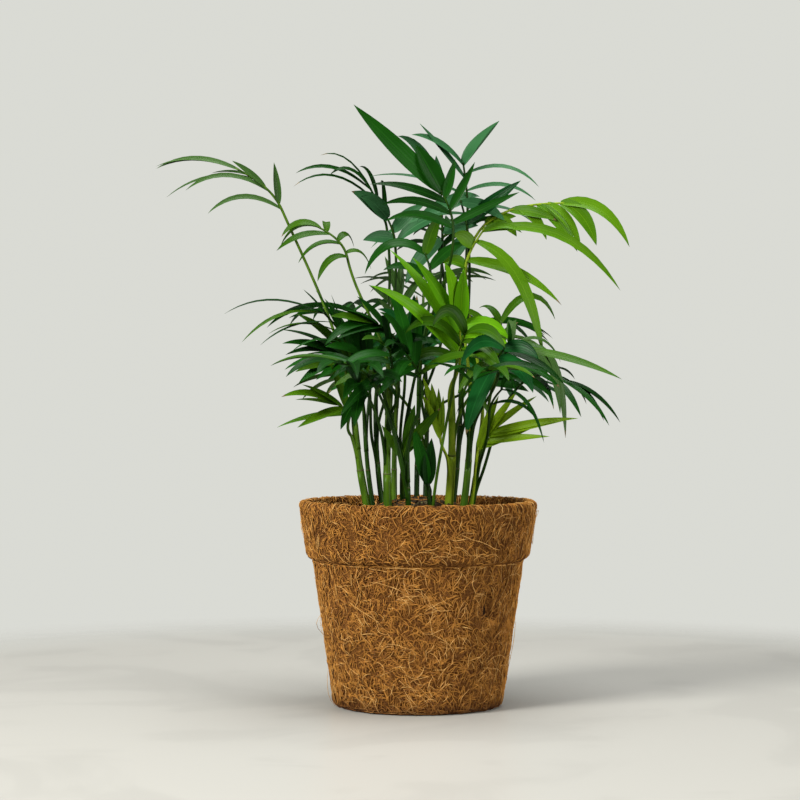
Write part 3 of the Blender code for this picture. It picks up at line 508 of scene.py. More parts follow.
def outer_frond(cane, leaves_at, knee, tip, face, pairs, reach, end_reach, droop, tint):
    """A frond that arches out of the crown."""
    side = Leaflets((reach, reach), (58, 40), (droop, droop))
    end = Leaflets((end_reach, end_reach), (14, 14), (droop, droop))
    return Frond(
        cane, leaves_at, knee, tip, arch=24, face=face, level=0.3, pairs=pairs,
        left=side, right=side, width=7.0, end=end, end_width=7.5, tint=tint,
    )


def inner_frond(cane, leaves_at, knee, tip, face, reach, end_reach, tint):
    """A frond that stands up inside the crown."""
    side = Leaflets((reach, reach), (70, 46), (0.8, 0.8))
    end = Leaflets((end_reach, end_reach), (20, 16), (0.7, 0.7))
    return Frond(
        cane, leaves_at, knee, tip, arch=16, face=face, level=0.5, pairs=3,
        left=side, right=side, width=8.0, end=end, end_width=8.5, tint=tint,
    )


FRONDS |= {
    "back_left": outer_frond(
        "cane_02", 0.8, (-36, 46, 246), (-56, 78, 256), (-3, 4, 9), 4, 54, 50, 0.85, "deep"
    ),
    "back_middle": outer_frond(
        "cane_13", 1.0, (4, 58, 262), (6, 92, 276), (0, 3, 9), 4, 56, 52, 0.8, "mid"
    ),
    "back_right": outer_frond(
        "cane_10", 0.8, (34, 48, 240), (50, 78, 246), (3, 4, 9), 4, 52, 50, 0.85, "deep"
    ),
    "back_low_left": outer_frond(
        "cane_13", 0.7, (-22, 54, 206), (-44, 74, 208), (-2, 3, 9), 3, 46, 44, 0.8, "fresh"
    ),
    "back_low_right": outer_frond(
        "cane_07", 0.6, (40, 34, 204), (64, 50, 206), (3, 3, 9), 3, 44, 42, 0.8, "blue"
    ),
    "back_high": outer_frond(
        "cane_07", 0.8, (14, 40, 292), (22, 62, 308), (1, 4, 8), 3, 50, 46, 0.7, "deep"
    ),
    "front_left": outer_frond(
        "cane_14", 0.7, (-30, -60, 208), (-48, -84, 217), (-2, -4, 8), 3, 46, 42, 0.85, "deep"
    ),
    "front_right": outer_frond(
        "cane_11", 0.6, (30, -58, 205), (44, -84, 213), (2, -4, 8), 3, 46, 42, 0.85, "deep"
    ),
    "inner_left": inner_frond(
        "cane_03", 0.85, (-22, 16, 206), (-32, 20, 222), (2, -10, 3), 40, 38, "deep"
    ),
    "inner_middle": inner_frond(
        "cane_13", 0.85, (2, 16, 216), (-2, 12, 234), (0, -10, 3), 40, 38, "blue"
    ),
    "inner_right": inner_frond(
        "cane_10", 0.7, (40, 14, 204), (48, 16, 218), (-2, -10, 3), 38, 36, "deep"
    ),
}

print("canes:", len(CANES), "and fronds:", len(FRONDS))

# %% [markdown]
# Helpers for shaping by hand. An operator acts on all that is selected, so each piece is alone when it is
# edited. One helper pulls a disc up into a round shape, ring by ring, the way a potter pulls up a wall: the
# top face is extruded to the next height and resized to the next radius. The last one roughens a surface by
# pushing it in and out with a cloud pattern.

# %% Helpers for modelling by hand
LUMP_DETAIL = 2  # how many finer layers the cloud pattern has


def add_disc(name, sides, radius, place=(0, 0, 0), turn=(0, 0, 0)):
    """A filled disc that has its place and its turn in its mesh."""
    bpy.ops.object.select_all(action="DESELECT")
    bpy.ops.mesh.primitive_circle_add(
        vertices=sides, radius=radius, fill_type="NGON", location=place, rotation=turn
    )
    disc = bpy.context.active_object
    disc.name = name
    bpy.ops.object.transform_apply(location=True, rotation=True)
    return disc


def start_editing(obj, kind="FACE"):
    """Starts edit mode on one object alone, with all of it selected."""
    bpy.ops.object.select_all(action="DESELECT")
    obj.select_set(True)
    bpy.context.view_layer.objects.active = obj
    bpy.ops.object.mode_set(mode="EDIT")
    bpy.ops.mesh.select_mode(type=kind)
    bpy.ops.mesh.select_all(action="SELECT")


def stop_editing():
    bpy.ops.object.mode_set(mode="OBJECT")


def extrude(*distance):
    bpy.ops.mesh.extrude_region_move(TRANSFORM_OT_translate={"value": distance})


def resize(*shares, centre):
    bpy.ops.transform.resize(value=shares, center_override=centre)


def finish_closed():
    """Turns every face of the edited shape outwards and ends edit mode."""
    bpy.ops.mesh.select_all(action="SELECT")
    bpy.ops.mesh.normals_make_consistent(inside=False)
    stop_editing()


def pull_up(name, profile, sides):
    """A closed round shape from (radius, height) pairs in metres, the first of them its foot."""
    radius, height = profile[0]
    obj = add_disc(name, sides, radius, place=(0, 0, height))
    start_editing(obj)
    for next_radius, next_height in profile[1:]:
        extrude(0, 0, next_height - height)
        share = next_radius / radius
        resize(share, share, 1, centre=(0, 0, next_height))
        radius, height = next_radius, next_height
    finish_closed()
    return obj


def roughen(obj, lumps):
    """Roughens a surface with lumps of several kinds, each given by its size and height in millimetres."""
    for name, (size, height) in lumps.items():
        clouds = bpy.data.textures.new(name, "CLOUDS")
        clouds.noise_scale = size * MM
        clouds.noise_depth = LUMP_DETAIL
        push = obj.modifiers.new(name, "DISPLACE")
        push.texture = clouds
        push.texture_coords = "LOCAL"
        push.strength = height * MM
        push.mid_level = 0.5
        bpy.ops.object.select_all(action="DESELECT")
        bpy.context.view_layer.objects.active = obj
        bpy.ops.object.modifier_apply(modifier=name)


# %% [markdown]
# What repeats is modelled once as a pattern, and then laid out many times as one joined mesh. The corners of
# every copy are worked out as one array of numbers, which is far quicker than placing objects one by one.
# Each copy keeps the pattern's faces, its materials and its flat map, so a finish can follow its shape.

# %% Joining many copies of a pattern


class Pattern(NamedTuple):
    """A small modelled shape: its corners, its faces, each face's material number and a flat map."""

    corners: np.ndarray
    faces: list
    finishes: list
    flat_map: np.ndarray


def pattern_from(obj, flat_map):
    """Reads a modelled object as a pattern and removes the object. flat_map makes (u, v) from a corner."""
    mesh = obj.data
    corners = np.array([corner.co for corner in mesh.vertices])
    faces = [tuple(face.vertices) for face in mesh.polygons]
    finishes = [face.material_index for face in mesh.polygons]
    bpy.data.objects.remove(obj)
    return Pattern(corners, faces, finishes, np.array([flat_map(corner) for corner in corners]))


def join_copies(name, pattern, copies, materials, finishes=None, smooth=True):
    """One mesh of many copies. copies holds every copy's corners, in the pattern's order."""
    copies = np.asarray(copies)
    count, size = copies.shape[0], len(pattern.corners)
    faces = []
    for number in range(count):
        first = number * size
        faces += [tuple(first + corner for corner in face) for face in pattern.faces]
    mesh = bpy.data.meshes.new(name)
    mesh.from_pydata(copies.reshape(-1, 3), [], faces)
    for material in materials:
        mesh.materials.append(material)
    if finishes is None:
        finishes = pattern.finishes * count
    mesh.polygons.foreach_set("material_index", finishes)
    if smooth:
        mesh.shade_smooth()
    corner_of_loop = np.zeros(len(mesh.loops), dtype=np.int32)
    mesh.loops.foreach_get("vertex_index", corner_of_loop)
    flat = np.tile(pattern.flat_map, (count, 1))[corner_of_loop]
    mesh.uv_layers.new(name="flat").data.foreach_set("uv", flat.ravel().astype(np.float32))
    mesh.update()
    obj = bpy.data.objects.new(name, mesh)
    bpy.context.scene.collection.objects.link(obj)
    print(name, "has", count, "copies and", len(mesh.polygons), "faces")
    return obj


def hand_over(piece, nodes=()):
    """Seats a piece on the part's one body, and hides the solids it stands for."""
    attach(piece, "root")
    if nodes:
        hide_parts(*nodes)


# %% [markdown]
# Colour that is even all over looks like plastic. This group gives a soft, cloudy share between 0 and 1 that
# follows the object's own coordinates, and it can be stretched up and down. Each finish below uses it with
# its own scale, to vary its colour and, where it has them, its gloss or its bumps.

# %% The group for cloudy variation
CLOUD_DETAIL = 3.0


def clouds_group():
    values = {"Scale": 100.0, "Upward": 1.0, "Contrast": 1.0}
    tree, given, result = new_group("cloudy variation", values, ["Share"])
    stretch = add_node(tree, "ShaderNodeCombineXYZ", {"X": 1.0, "Y": 1.0, "Z": given["Upward"]})
    sockets = {"Vector": own_place(tree), "Scale": stretch.outputs["Vector"]}
    stretched = add_node(tree, "ShaderNodeMapping", sockets).outputs["Vector"]
    sockets = {"Vector": stretched, "Scale": given["Scale"], "Detail": CLOUD_DETAIL}
    noise = add_node(tree, "ShaderNodeTexNoise", sockets).outputs["Fac"]
    centred = worked_out(tree, "SUBTRACT", noise, 0.5)
    wide = worked_out(tree, "MULTIPLY", centred, given["Contrast"])
    share = worked_out(tree, "ADD", wide, 0.5, use_clamp=True)
    tree.links.new(share, result.inputs["Share"])
    return tree


CLOUDS = clouds_group()
print("nodes in the clouds' group:", len(CLOUDS.nodes))

# %% [markdown]
# The pot is coconut fibre, matted with a little latex and pressed in a mould, so its wall is a dense dark
# mat with thousands of golden fibres lying on it. A picture of fibres would look flat at the rim. So the
# wall is pulled up as a real shell, roughened, and then real fibres are laid over it. Its outline is drawn
# once, from the foot over the rim and down inside, and serves the fibres too.

# %% The pot's outline
POT_HEIGHT = 130
RIM_RADIUS = 75
RIM_ROUND = 2.5
BAND_FOOT_RADIUS = 70.5
BAND_FOOT_HEIGHT = 97
BAND_FOOT_EASE = ((-0.5, -0.8), (0, 0.8))  # points aside and above that soften the band's lower corner
BODY_TOP_RADIUS = 66
BODY_TOP_HEIGHT = 93
BODY_TOP_EASE = ((0, -1.5), (0.6, 0))  # the same at the body's upper corner, under the band
BASE_RADIUS = 53.5
BASE_ROUND = 4
WALL = 5
POT_SIDES = 180
WALL_STEP = 2.0  # millimetres between two rings of the wall


def rounded(centre, radius, start, end, steps=5):
    """Points (radius, height) of an arc about centre, from one angle to another in degrees."""
    for step in range(steps + 1):
        angle = math.radians(start + (end - start) * step / steps)
        yield centre[0] + radius * math.cos(angle), centre[1] + radius * math.sin(angle)


def inner_radius(height):
    """The radius of the pot's inside at a height, both in millimetres."""
    if height >= BAND_FOOT_HEIGHT:
        share = (height - BAND_FOOT_HEIGHT) / (POT_HEIGHT - BAND_FOOT_HEIGHT)
        return BAND_FOOT_RADIUS - WALL + share * (RIM_RADIUS - BAND_FOOT_RADIUS)
    share = height / BODY_TOP_HEIGHT
    return min(BASE_RADIUS + share * (BODY_TOP_RADIUS - BASE_RADIUS), BODY_TOP_RADIUS) - WALL


def outer_profile():
    """The outside of the wall, from the foot up over the rim."""
    yield from rounded((BASE_RADIUS - BASE_ROUND, BASE_ROUND), BASE_ROUND, -90, 0)
    for aside, above in BODY_TOP_EASE:
        yield BODY_TOP_RADIUS + aside, BODY_TOP_HEIGHT + above
    for aside, above in BAND_FOOT_EASE:
        yield BAND_FOOT_RADIUS + aside, BAND_FOOT_HEIGHT + above
    yield from rounded((RIM_RADIUS - RIM_ROUND, POT_HEIGHT - RIM_ROUND), RIM_ROUND, 0, 180)


def inner_profile():
    """The inside of the wall, from under the rim down to the floor."""
    for height in (BAND_FOOT_HEIGHT, BODY_TOP_HEIGHT, WALL):
        yield inner_radius(height), height


def evened(points, step):
    """The same profile with a point at least every step."""
    points = [Vector(point) for point in points]
    yield tuple(points[0])
    for before, after in zip(points, points[1:]):
        parts = max(1, math.ceil((after - before).length / step))
        for part in range(1, parts + 1):
            yield tuple(before.lerp(after, part / parts))


print("points on the pot's outside:", len(list(outer_profile())))

# %% [markdown]
# A pressed pot is never quite even. The wall gets broad lumps and fine ones, and two short slits where the
# mat is thin: one half way up on the right of the front, and a shallow one in the band on the left. The
# slits are pressed into the wall, and the ground of the deep one gets a dark material of its own, which is
# painted shade.

# %% The pot's wall
POT_LUMPS = {"pressed_lumps": (14, 1.3), "pressed_fibre": (2.2, 0.9)}  # the size and height of each kind
POT_FLOOR_RINGS = (30, 10)  # the radii of the last rings, on the pot's floor
SHADED_DEPTH = 2  # how deep a slit has to be for its ground to get painted shade


class Slit(NamedTuple):
    """A slit: its place round the pot in degrees, and its lower end, upper end, half width and depth."""

    turn: float
    low: float
    high: float
    half: float
    depth: float


SLITS = (Slit(-47, 61, 76, 1.3, 2.6), Slit(-125, 103, 124, 0.8, 1.2))


def in_slit(point, slit):
    """Whether a point of the wall is inside a slit, where the mat is thin."""
    aside = math.degrees(math.atan2(point.y, point.x)) - slit.turn
    return abs(aside) < math.degrees(slit.half / BODY_TOP_RADIUS) and slit.low < point.z / MM < slit.high


def press_slits(pot):
    """Presses the slits into the wall's outside and gives a deep one's faces the second material, a painted
    shade.
    """
    for corner in pot.data.vertices:
        outward = Vector((corner.co.x, corner.co.y, 0))
        if outward.length / MM > inner_radius(corner.co.z / MM) + WALL / 2:
            for slit in SLITS:
                if in_slit(corner.co, slit):
                    corner.co -= outward.normalized() * slit.depth * MM
    for face in pot.data.polygons:
        if any(in_slit(face.center, slit) and slit.depth > SHADED_DEPTH for slit in SLITS):
            face.material_index = 1


def add_pot():
    profile = list(evened([*outer_profile(), *inner_profile()], WALL_STEP))
    profile += [(radius, WALL) for radius in POT_FLOOR_RINGS]
    pot = pull_up("pot_wall", [(radius * MM, height * MM) for radius, height in profile], POT_SIDES)
    roughen(pot, POT_LUMPS)
    press_slits(pot)
    pot.data.shade_smooth()
    for corner in pot.data.vertices:
        corner.co.z = max(corner.co.z, 0)
    return pot


pot = add_pot()
print("the pot's wall has", len(pot.data.polygons), "faces")

# %% [markdown]
# The mat's finish is darker than the fibres on it, partly for its own colour and partly as painted shade for
# the gaps between them, where it shows. The edges of a curled cell pattern stand for the fibres that are
# pressed in too deep to be worth modelling, and the middles of its cells get the painted shade. The foot of
# the pot is darker too: painted shade where it meets the floor, and the damp that it keeps.

# %% The mat's finish
FIBRE_ROUGHNESS = 0.92
MAT_GLOSS = 0.15
# the mat's own dark colour, with painted shade for the gaps between the strands
MAT_DARK_AND_GAP_SHADE = (0.075, 0.026, 0.004)
MAT_LIGHT = (0.300, 0.125, 0.022)
STRANDS = 520.0  # cells of the strands' pattern in a metre
STRAND_EDGE = (0.02, 0.20)  # where a strand begins to end, and where it has ended, from a cell's edge
STRAND_CURL = 0.010  # how far the strands are curled aside, in metres
STRAND_BUMP = (0.8, 0.4 * MM)  # how strong and how high they are
DAMP_AND_SHADE_HEIGHT = 11 * MM  # how high the foot is darkened by painted shade and damp
FOOT_DAMP_AND_SHADE = (0.42, 0.36, 0.34)  # how much of its colour the fibre keeps where the painted shade and the damp are deepest
# painted shade at the ground of a deep slit
SLIT_SHADE = (0.012, 0.006, 0.003)


def damp_and_shaded_foot(tree, colour):
    """The same colour, darker towards the pot's foot: painted shade where the pot meets the floor, and the
    damp that it keeps.
    """
    height = add_node(tree, "ShaderNodeSeparateXYZ", {"Vector": own_place(tree)}).outputs["Z"]
    damp_and_shade = rescaled(tree, height, 0, DAMP_AND_SHADE_HEIGHT, 1, 0, easing="SMOOTHSTEP")
    return mixed(tree, damp_and_shade, colour, opaque(FOOT_DAMP_AND_SHADE), "MULTIPLY")


def mat_material():
    material, tree, shader = new_material("coir mat", FIBRE_ROUGHNESS, Specular_IOR_Level=MAT_GLOSS)
    place = own_place(tree)
    bent = add_node(tree, "ShaderNodeTexNoise", {"Vector": place, "Scale": 160.0, "Detail": 2.0})
    sockets = {0: bent.outputs["Color"], 1: (STRAND_CURL, STRAND_CURL, STRAND_CURL)}
    moved = add_node(tree, "ShaderNodeVectorMath", sockets, operation="MULTIPLY").outputs["Vector"]
    curled = add_node(tree, "ShaderNodeVectorMath", {0: place, 1: moved}, operation="ADD").outputs["Vector"]
    sockets = {"Vector": curled, "Scale": STRANDS}
    cells = add_node(tree, "ShaderNodeTexVoronoi", sockets, feature="DISTANCE_TO_EDGE")
    strand = rescaled(tree, cells.outputs["Distance"], *STRAND_EDGE, 1, 0)
    clouds = place_group(tree, CLOUDS, Scale=60.0, Contrast=1.6)["Share"]
    lit = worked_out(tree, "MULTIPLY", strand, clouds)
    # the cells' middles get the dark colour: painted shade in the gaps, and partly the mat's own colour
    ground = mixed(tree, lit, opaque(MAT_DARK_AND_GAP_SHADE), opaque(MAT_LIGHT))
    tree.links.new(damp_and_shaded_foot(tree, ground), shader.inputs["Base Color"])
    add_bump(tree, shader, strand, *STRAND_BUMP)
    return material


def slit_shade_material():
    return new_material("painted shade deep in a slit", 0.95, Specular_IOR_Level=0.1, Base_Color=opaque(SLIT_SHADE))[0]


pot.data.materials.append(mat_material())
pot.data.materials.append(slit_shade_material())
hand_over(pot, ["pot"])
print("the pot's finishes:", [material.name for material in pot.data.materials])

# %% [markdown]
# One fibre is a thin three-sided rod. It is modelled once, as a triangle that is extruded a few times, and
# bent for every place where a fibre lies. Three sides and a few rings are enough for something thinner than
# a millimetre that appears many thousands of times.

# %% One fibre
FIBRE_RINGS = 6
FIBRE_END = 0.6  # its radius at both ends, against its middle


def model_fibre():
    """A rod one unit long along X, with a radius of one unit in the middle, that tapers to its ends."""
    radius = FIBRE_END
    rod = add_disc("fibre", 3, radius, turn=(0, math.radians(90), 0))
    start_editing(rod)
    for ring in range(1, FIBRE_RINGS):
        along = ring / (FIBRE_RINGS - 1)
        next_radius = FIBRE_END + (1 - FIBRE_END) * math.sin(math.pi * along)
        extrude(1 / (FIBRE_RINGS - 1), 0, 0)
        share = next_radius / radius
        resize(1, share, share, centre=(along, 0, 0))
        radius = next_radius
    finish_closed()
    return pattern_from(rod, lambda corner: (corner[0], 0.5))


FIBRE = model_fibre()
print("one fibre has", len(FIBRE.faces), "faces")

# %% [markdown]
# Fibres lie on the wall, so a place on it is needed for every point of theirs. The pot's outline, measured
# along its own length, gives that: how far up the wall a point is and how far round. Radius and height are
# read from the outline, and the way outward is square to it.

# %% Places on the wall
OUTSIDE_STEP = 1.0
UNDER_RIM = (6, 14)  # how far under the rim the outline's last two points are, inside the pot
OUTSIDE = np.array(list(evened(outer_profile(), OUTSIDE_STEP)))
OVER_RIM = np.array([(inner_radius(POT_HEIGHT - down), POT_HEIGHT - down) for down in UNDER_RIM])
WALL_LINE = np.vstack([OUTSIDE, OVER_RIM])
WALL_ALONG = np.concatenate([[0], np.cumsum(np.linalg.norm(np.diff(WALL_LINE, axis=0), axis=1))])
WALL_NEAR = 0.6  # how far up and down the wall its slope is measured, in millimetres
TINY = 1e-9  # added to a length, so that nothing is divided by nought


def on_wall(angle, along, lift):
    """Points on the pot's wall and their outward ways, from an angle, a distance up the wall and a lift."""
    radius = np.interp(along, WALL_ALONG, WALL_LINE[:, 0])
    height = np.interp(along, WALL_ALONG, WALL_LINE[:, 1])
    above, below = along + WALL_NEAR, along - WALL_NEAR
    rise_radius, rise_height = (
        np.interp(above, WALL_ALONG, WALL_LINE[:, axis]) - np.interp(below, WALL_ALONG, WALL_LINE[:, axis])
        for axis in (0, 1)
    )
    size = np.hypot(rise_radius, rise_height) + TINY
    out_radius, out_height = rise_height / size, -rise_radius / size
    radius = radius + out_radius * lift
    height = height + out_height * lift
    points = np.stack([radius * np.cos(angle), radius * np.sin(angle), height], axis=-1)
    ways = np.stack([out_radius * np.cos(angle), out_radius * np.sin(angle), out_height], axis=-1)
    return points * MM, ways


def bend_fibres(points, ways, radii):
    """Every fibre's corners: the pattern's rings laid along its points and turned to the outward way."""
    runs = np.gradient(points, axis=1)
    runs /= np.linalg.norm(runs, axis=-1, keepdims=True) + TINY * MM
    aside = np.cross(runs, ways)
    aside /= np.linalg.norm(aside, axis=-1, keepdims=True) + TINY * MM
    out = np.cross(aside, runs)
    rings = np.rint(FIBRE.corners[:, 0] * (FIBRE_RINGS - 1)).astype(int)
    across = FIBRE.corners[:, 1][None, :, None] * radii[:, None, None]
    above = FIBRE.corners[:, 2][None, :, None] * radii[:, None, None]
    corners = points[:, rings] + aside[:, rings] * across + out[:, rings] * above
    corners[..., 2] = np.maximum(corners[..., 2], 0)  # nothing goes below what the pot stands on
    return corners


print("the wall measures", round(WALL_ALONG[-1]), "mm from the foot over the rim")

# %% [markdown]
# A fibre's path is drawn on the wall as if it were unrolled: it starts at a place, heads one way and keeps
# turning a little. On the flanks of this pot the fibres stand mostly upright, as they were combed into the
# mould, and in front and behind they swirl. So the spread of their headings depends on where they start,
# and neighbours share a heading, as they do in a real mat.

# %% The fibres' paths on the wall
BAND_FROM = WALL_ALONG[np.argmax(WALL_LINE[:, 1] > BODY_TOP_HEIGHT - 0.5)]  # the groove under the band
WALL_END = WALL_ALONG[-1]
LEAST_PLACE = 0.8  # how far above the foot a fibre may start, and a band's fibre keep above the groove
GROOVE_GAP = 0.2  # how far under the groove the body's fibres end, and the band's before the wall does
END_GAP = 0.6
FLANK_TURN = 0.35  # twice the angle by which the upright flanks are turned round the pot
COMBED = (0.2, 0.75, 0.25)  # how upright fibres stand anywhere, and what flanks and height add to that
SWIRLS = (  # waves round the pot, radians a millimetre up the wall, start and size of each swirl
    (7, 0.11, 0, 1.0),
    (16, -0.19, 1, 1.0),
    (0, 0.23, 0, 0.5),
)
SWIRL_TURN = 0.8  # radians that a whole swirl turns a heading
HEADING_SPREAD = 0.75  # radians by which neighbours differ
FREE_HEADING, COMBED_HEADING = 1.25, 1.1  # how much of its heading a fibre keeps, and combing takes
FREE_CURL, COMBED_CURL = 0.12, 0.10  # the same for its curl, in radians a millimetre
SWAY = 0.16  # radians that it sways at each ring


class Layer(NamedTuple):
    """A layer of fibres: its tone, how many they are and the seed of their draws, the least and the most
    of their length, lift and radius, how far up the wall they begin, and how far they arch off it."""

    tone: str
    count: int
    seed: int
    lengths: tuple
    lifts: tuple
    radii: tuple
    lowest: float
    arching: float = 0.18


def upright_share(angle, place):
    """How strictly the fibres stand upright: most on the flanks and high up, least low in front."""
    anywhere, by_flank, by_height = COMBED
    flank = 0.5 + 0.5 * np.cos(2 * angle + FLANK_TURN)
    high = np.clip(place / BAND_FROM, 0, 1)
    return np.clip(anywhere + by_flank * flank + by_height * (high - 0.5), 0, 1)


def fibre_paths(layer, chance):
    """Curling paths for a layer's fibres, as points and outward ways. A fibre stays on the body or on the
    band, whichever it starts on, so the groove between them stays open."""
    count = layer.count
    angle = chance.uniform(0, math.tau, count)
    place = chance.uniform(LEAST_PLACE, WALL_END, count)
    least = np.where(place > BAND_FROM, BAND_FROM + LEAST_PLACE, layer.lowest)
    most = np.where(place > BAND_FROM, WALL_END - END_GAP, BAND_FROM - GROOVE_GAP)
    length = chance.uniform(*layer.lengths, count)
    combed = upright_share(angle, place) * chance.uniform(0.5, 1.0, count)
    swirl = sum(size * np.sin(waves * angle + rise * place + start) for waves, rise, start, size in SWIRLS)
    spread = chance.normal(0, HEADING_SPREAD, count)
    heading = (SWIRL_TURN * swirl + spread) * (FREE_HEADING - COMBED_HEADING * combed)
    curl = chance.normal(0, 1, count) * (FREE_CURL - COMBED_CURL * combed)
    sway = chance.normal(0, SWAY, (count, FIBRE_RINGS))
    lift = chance.uniform(*layer.lifts, count)
    arch = np.abs(chance.normal(0, layer.arching, count))
    step = length / (FIBRE_RINGS - 1)
    angles, places = [angle], [place]
    for ring in range(1, FIBRE_RINGS):
        heading = heading + curl * step + sway[:, ring]
        radius = np.interp(places[-1], WALL_ALONG, WALL_LINE[:, 0])
        angles.append(angles[-1] + np.sin(heading) * step / radius)
        places.append(places[-1] + np.cos(heading) * step)
    share = np.linspace(0, 1, FIBRE_RINGS)[None, :]
    lifted = lift[:, None] + arch[:, None] * np.sin(math.pi * share)
    limited = np.clip(np.stack(places, axis=1), least[:, None], most[:, None])
    return on_wall(np.stack(angles, axis=1), limited, lifted)


print("the groove is", round(BAND_FROM), "mm up the wall, which ends at", round(WALL_END))

# %% [markdown]
# Three tones of fibre lie over each other: dark ones deepest, golden brown ones in the middle, and pale
# straw on top. A pattern with small clouds lightens or darkens one fibre against the next. The tones are
# materials of their own, because one pattern for all could not tell which fibre lies on top.

# %% The fibres' finishes
FIBRE_TONES = {
    "umber": ((0.105, 0.035, 0.004), (0.250, 0.096, 0.013)),
    "golden": ((0.225, 0.085, 0.010), (0.465, 0.210, 0.035)),
    "straw": ((0.430, 0.210, 0.048), (0.660, 0.380, 0.120)),
}


def fibre_material(tone):
    dark, light = FIBRE_TONES[tone]
    material, tree, shader = new_material(tone + " fibre", 0.75, Specular_IOR_Level=0.25)
    clouds = place_group(tree, CLOUDS, Scale=330.0, Contrast=2.6)["Share"]
    ground = mixed(tree, clouds, opaque(dark), opaque(light))
    tree.links.new(damp_and_shaded_foot(tree, ground), shader.inputs["Base Color"])
    return material


FIBRE_FINISHES = {tone: fibre_material(tone) for tone in FIBRE_TONES}
print("the fibres' finishes:", list(FIBRE_FINISHES))

# %% [markdown]
# Now the fibres are laid, the dark ones first and lowest. The golden ones are two pieces, so that each stays
# well under two hundred thousand triangles. A few long loose ones arch away from the wall, as on any pot of
# this kind. Fibres that would cross a slit are left out.

# %% Laying the fibres
# The golden and straw fibres start a few millimetres above the foot, so only dark fibres lie at the very
# foot: painted shade where the pot meets the floor, and the damp that it keeps.
LAYERS = {
    "fibres_umber": Layer("umber", 5200, 11, (4, 11), (0.1, 0.5), (0.28, 0.42), 0.6),
    "fibres_golden_a": Layer("golden", 5600, 12, (3, 10), (0.2, 0.7), (0.24, 0.38), 3.5),
    "fibres_golden_b": Layer("golden", 5600, 13, (3, 9), (0.3, 0.9), (0.20, 0.34), 5.0),
    "fibres_straw": Layer("straw", 1100, 14, (4, 14), (0.5, 1.1), (0.16, 0.25), 4.0),
    "fibres_loose": Layer("straw", 90, 15, (16, 34), (0.7, 1.8), (0.14, 0.20), 3.0, 1.8),
}


def clear_of_slits(points):
    """Which fibres have no point in a slit."""
    angles = np.degrees(np.arctan2(points[..., 1], points[..., 0]))
    heights = points[..., 2] / MM
    clear = np.ones(len(points), dtype=bool)
    for slit in SLITS:
        beside = np.abs(angles - slit.turn) < math.degrees(slit.half / BODY_TOP_RADIUS)
        clear &= ~np.any(beside & (heights > slit.low) & (heights < slit.high), axis=1)
    return clear


def add_fibres(name, layer):
    chance = np.random.default_rng(layer.seed)
    points, ways = fibre_paths(layer, chance)
    radii = chance.uniform(*layer.radii, layer.count) * MM
    clear = clear_of_slits(points)
    copies = bend_fibres(points[clear], ways[clear], radii[clear])
    piece = join_copies(name, FIBRE, copies, [FIBRE_FINISHES[layer.tone]])
    hand_over(piece, ["pot"])


for name, layer in LAYERS.items():
    add_fibres(name, layer)

# %% [markdown]
# The compost is heaped a little round the canes. A disc is pulled up into a low mound and roughened first
# with broad lumps and then with fine grit. Its finish is nearly black with paler specks.

# %% Compost
COMPOST_TOP = 121
COMPOST_GAP = 0.3  # between its edge and the wall
COMPOST_EDGE = ((-3, -12), (0, -9), (0, -1))  # its outline at the wall, aside from its edge and above its top
MOUND = 10  # how much higher the compost is in the middle
MOUND_RADIUS = 52
MOUND_RINGS = 34
COMPOST_SIDES = 120
COMPOST_LUMPS = {"clods": (8, 3.0), "grit": (2.5, 1.2)}
CRUMB_DARK = (0.012, 0.007, 0.003)
CRUMB_LIGHT = (0.062, 0.038, 0.018)
MOSS_DARK = (0.026, 0.032, 0.008)
MOSS_LIGHT = (0.120, 0.110, 0.040)
CRUMB_BUMP = (0.7, 0.6 * MM)


def compost_height(radius):
    """The height of the compost at a distance from the pot's axis, in millimetres."""
    share = min(radius / MOUND_RADIUS, 1)
    return COMPOST_TOP + MOUND * (0.5 + 0.5 * math.cos(math.pi * share))


def crumb_material(name, dark, light, scale):
    material, tree, shader = new_material(name, 0.95, Specular_IOR_Level=0.2)
    clouds = place_group(tree, CLOUDS, Scale=scale, Contrast=2.5)["Share"]
    tree.links.new(mixed(tree, clouds, opaque(dark), opaque(light)), shader.inputs["Base Color"])
    add_bump(tree, shader, clouds, *CRUMB_BUMP)
    return material


def add_compost():
    edge = inner_radius(COMPOST_TOP) - COMPOST_GAP
    profile = [(edge + aside, COMPOST_TOP + above) for aside, above in COMPOST_EDGE]
    for ring in range(1, MOUND_RINGS):
        radius = edge * (1 - ring / MOUND_RINGS)
        profile.append((radius, compost_height(radius)))
    in_metres = [(radius * MM, height * MM) for radius, height in profile]
    compost = pull_up("compost_mound", in_metres, COMPOST_SIDES)
    roughen(compost, COMPOST_LUMPS)
    compost.data.shade_smooth()
    compost.data.materials.append(crumb_material("compost", CRUMB_DARK, CRUMB_LIGHT, 300.0))
    hand_over(compost, ["compost"])
    return compost


print("the compost has", len(add_compost().data.polygons), "faces")

# %% [markdown]
# Crumbs and bits of fibre strewn over the mound give soil its edge of light and dark. A crumb is a small
# sphere of few faces, pulled out of round once, and every copy is turned another way. The strewn fibres are
# the pot's own, shed when it was filled.

# %% Crumbs and strewn fibres
CRUMB_OUT_OF_ROUND = 0.25
CRUMB_SHAPE = (1.1, 0.9, 0.75)
CRUMB_STANDS = 0.3  # how far a crumb's middle is above the compost, against its size
CRUMBS_CLEAR = 2  # millimetres that the crumbs keep from the wall
STREWN_CLEAR = 6  # the same for the middles of the strewn fibres, and below for their ends
STREWN_END_CLEAR = 1
STREWN_LENGTHS = (5, 17)
STREWN_RADII = (0.16, 0.34)
STREWN_CURL = 0.35  # radians that one turns at each ring
STREWN_LIFT = 0.9  # millimetres that its ends are above the compost, and its middle is above its ends
STREWN_ARCH = 1.2


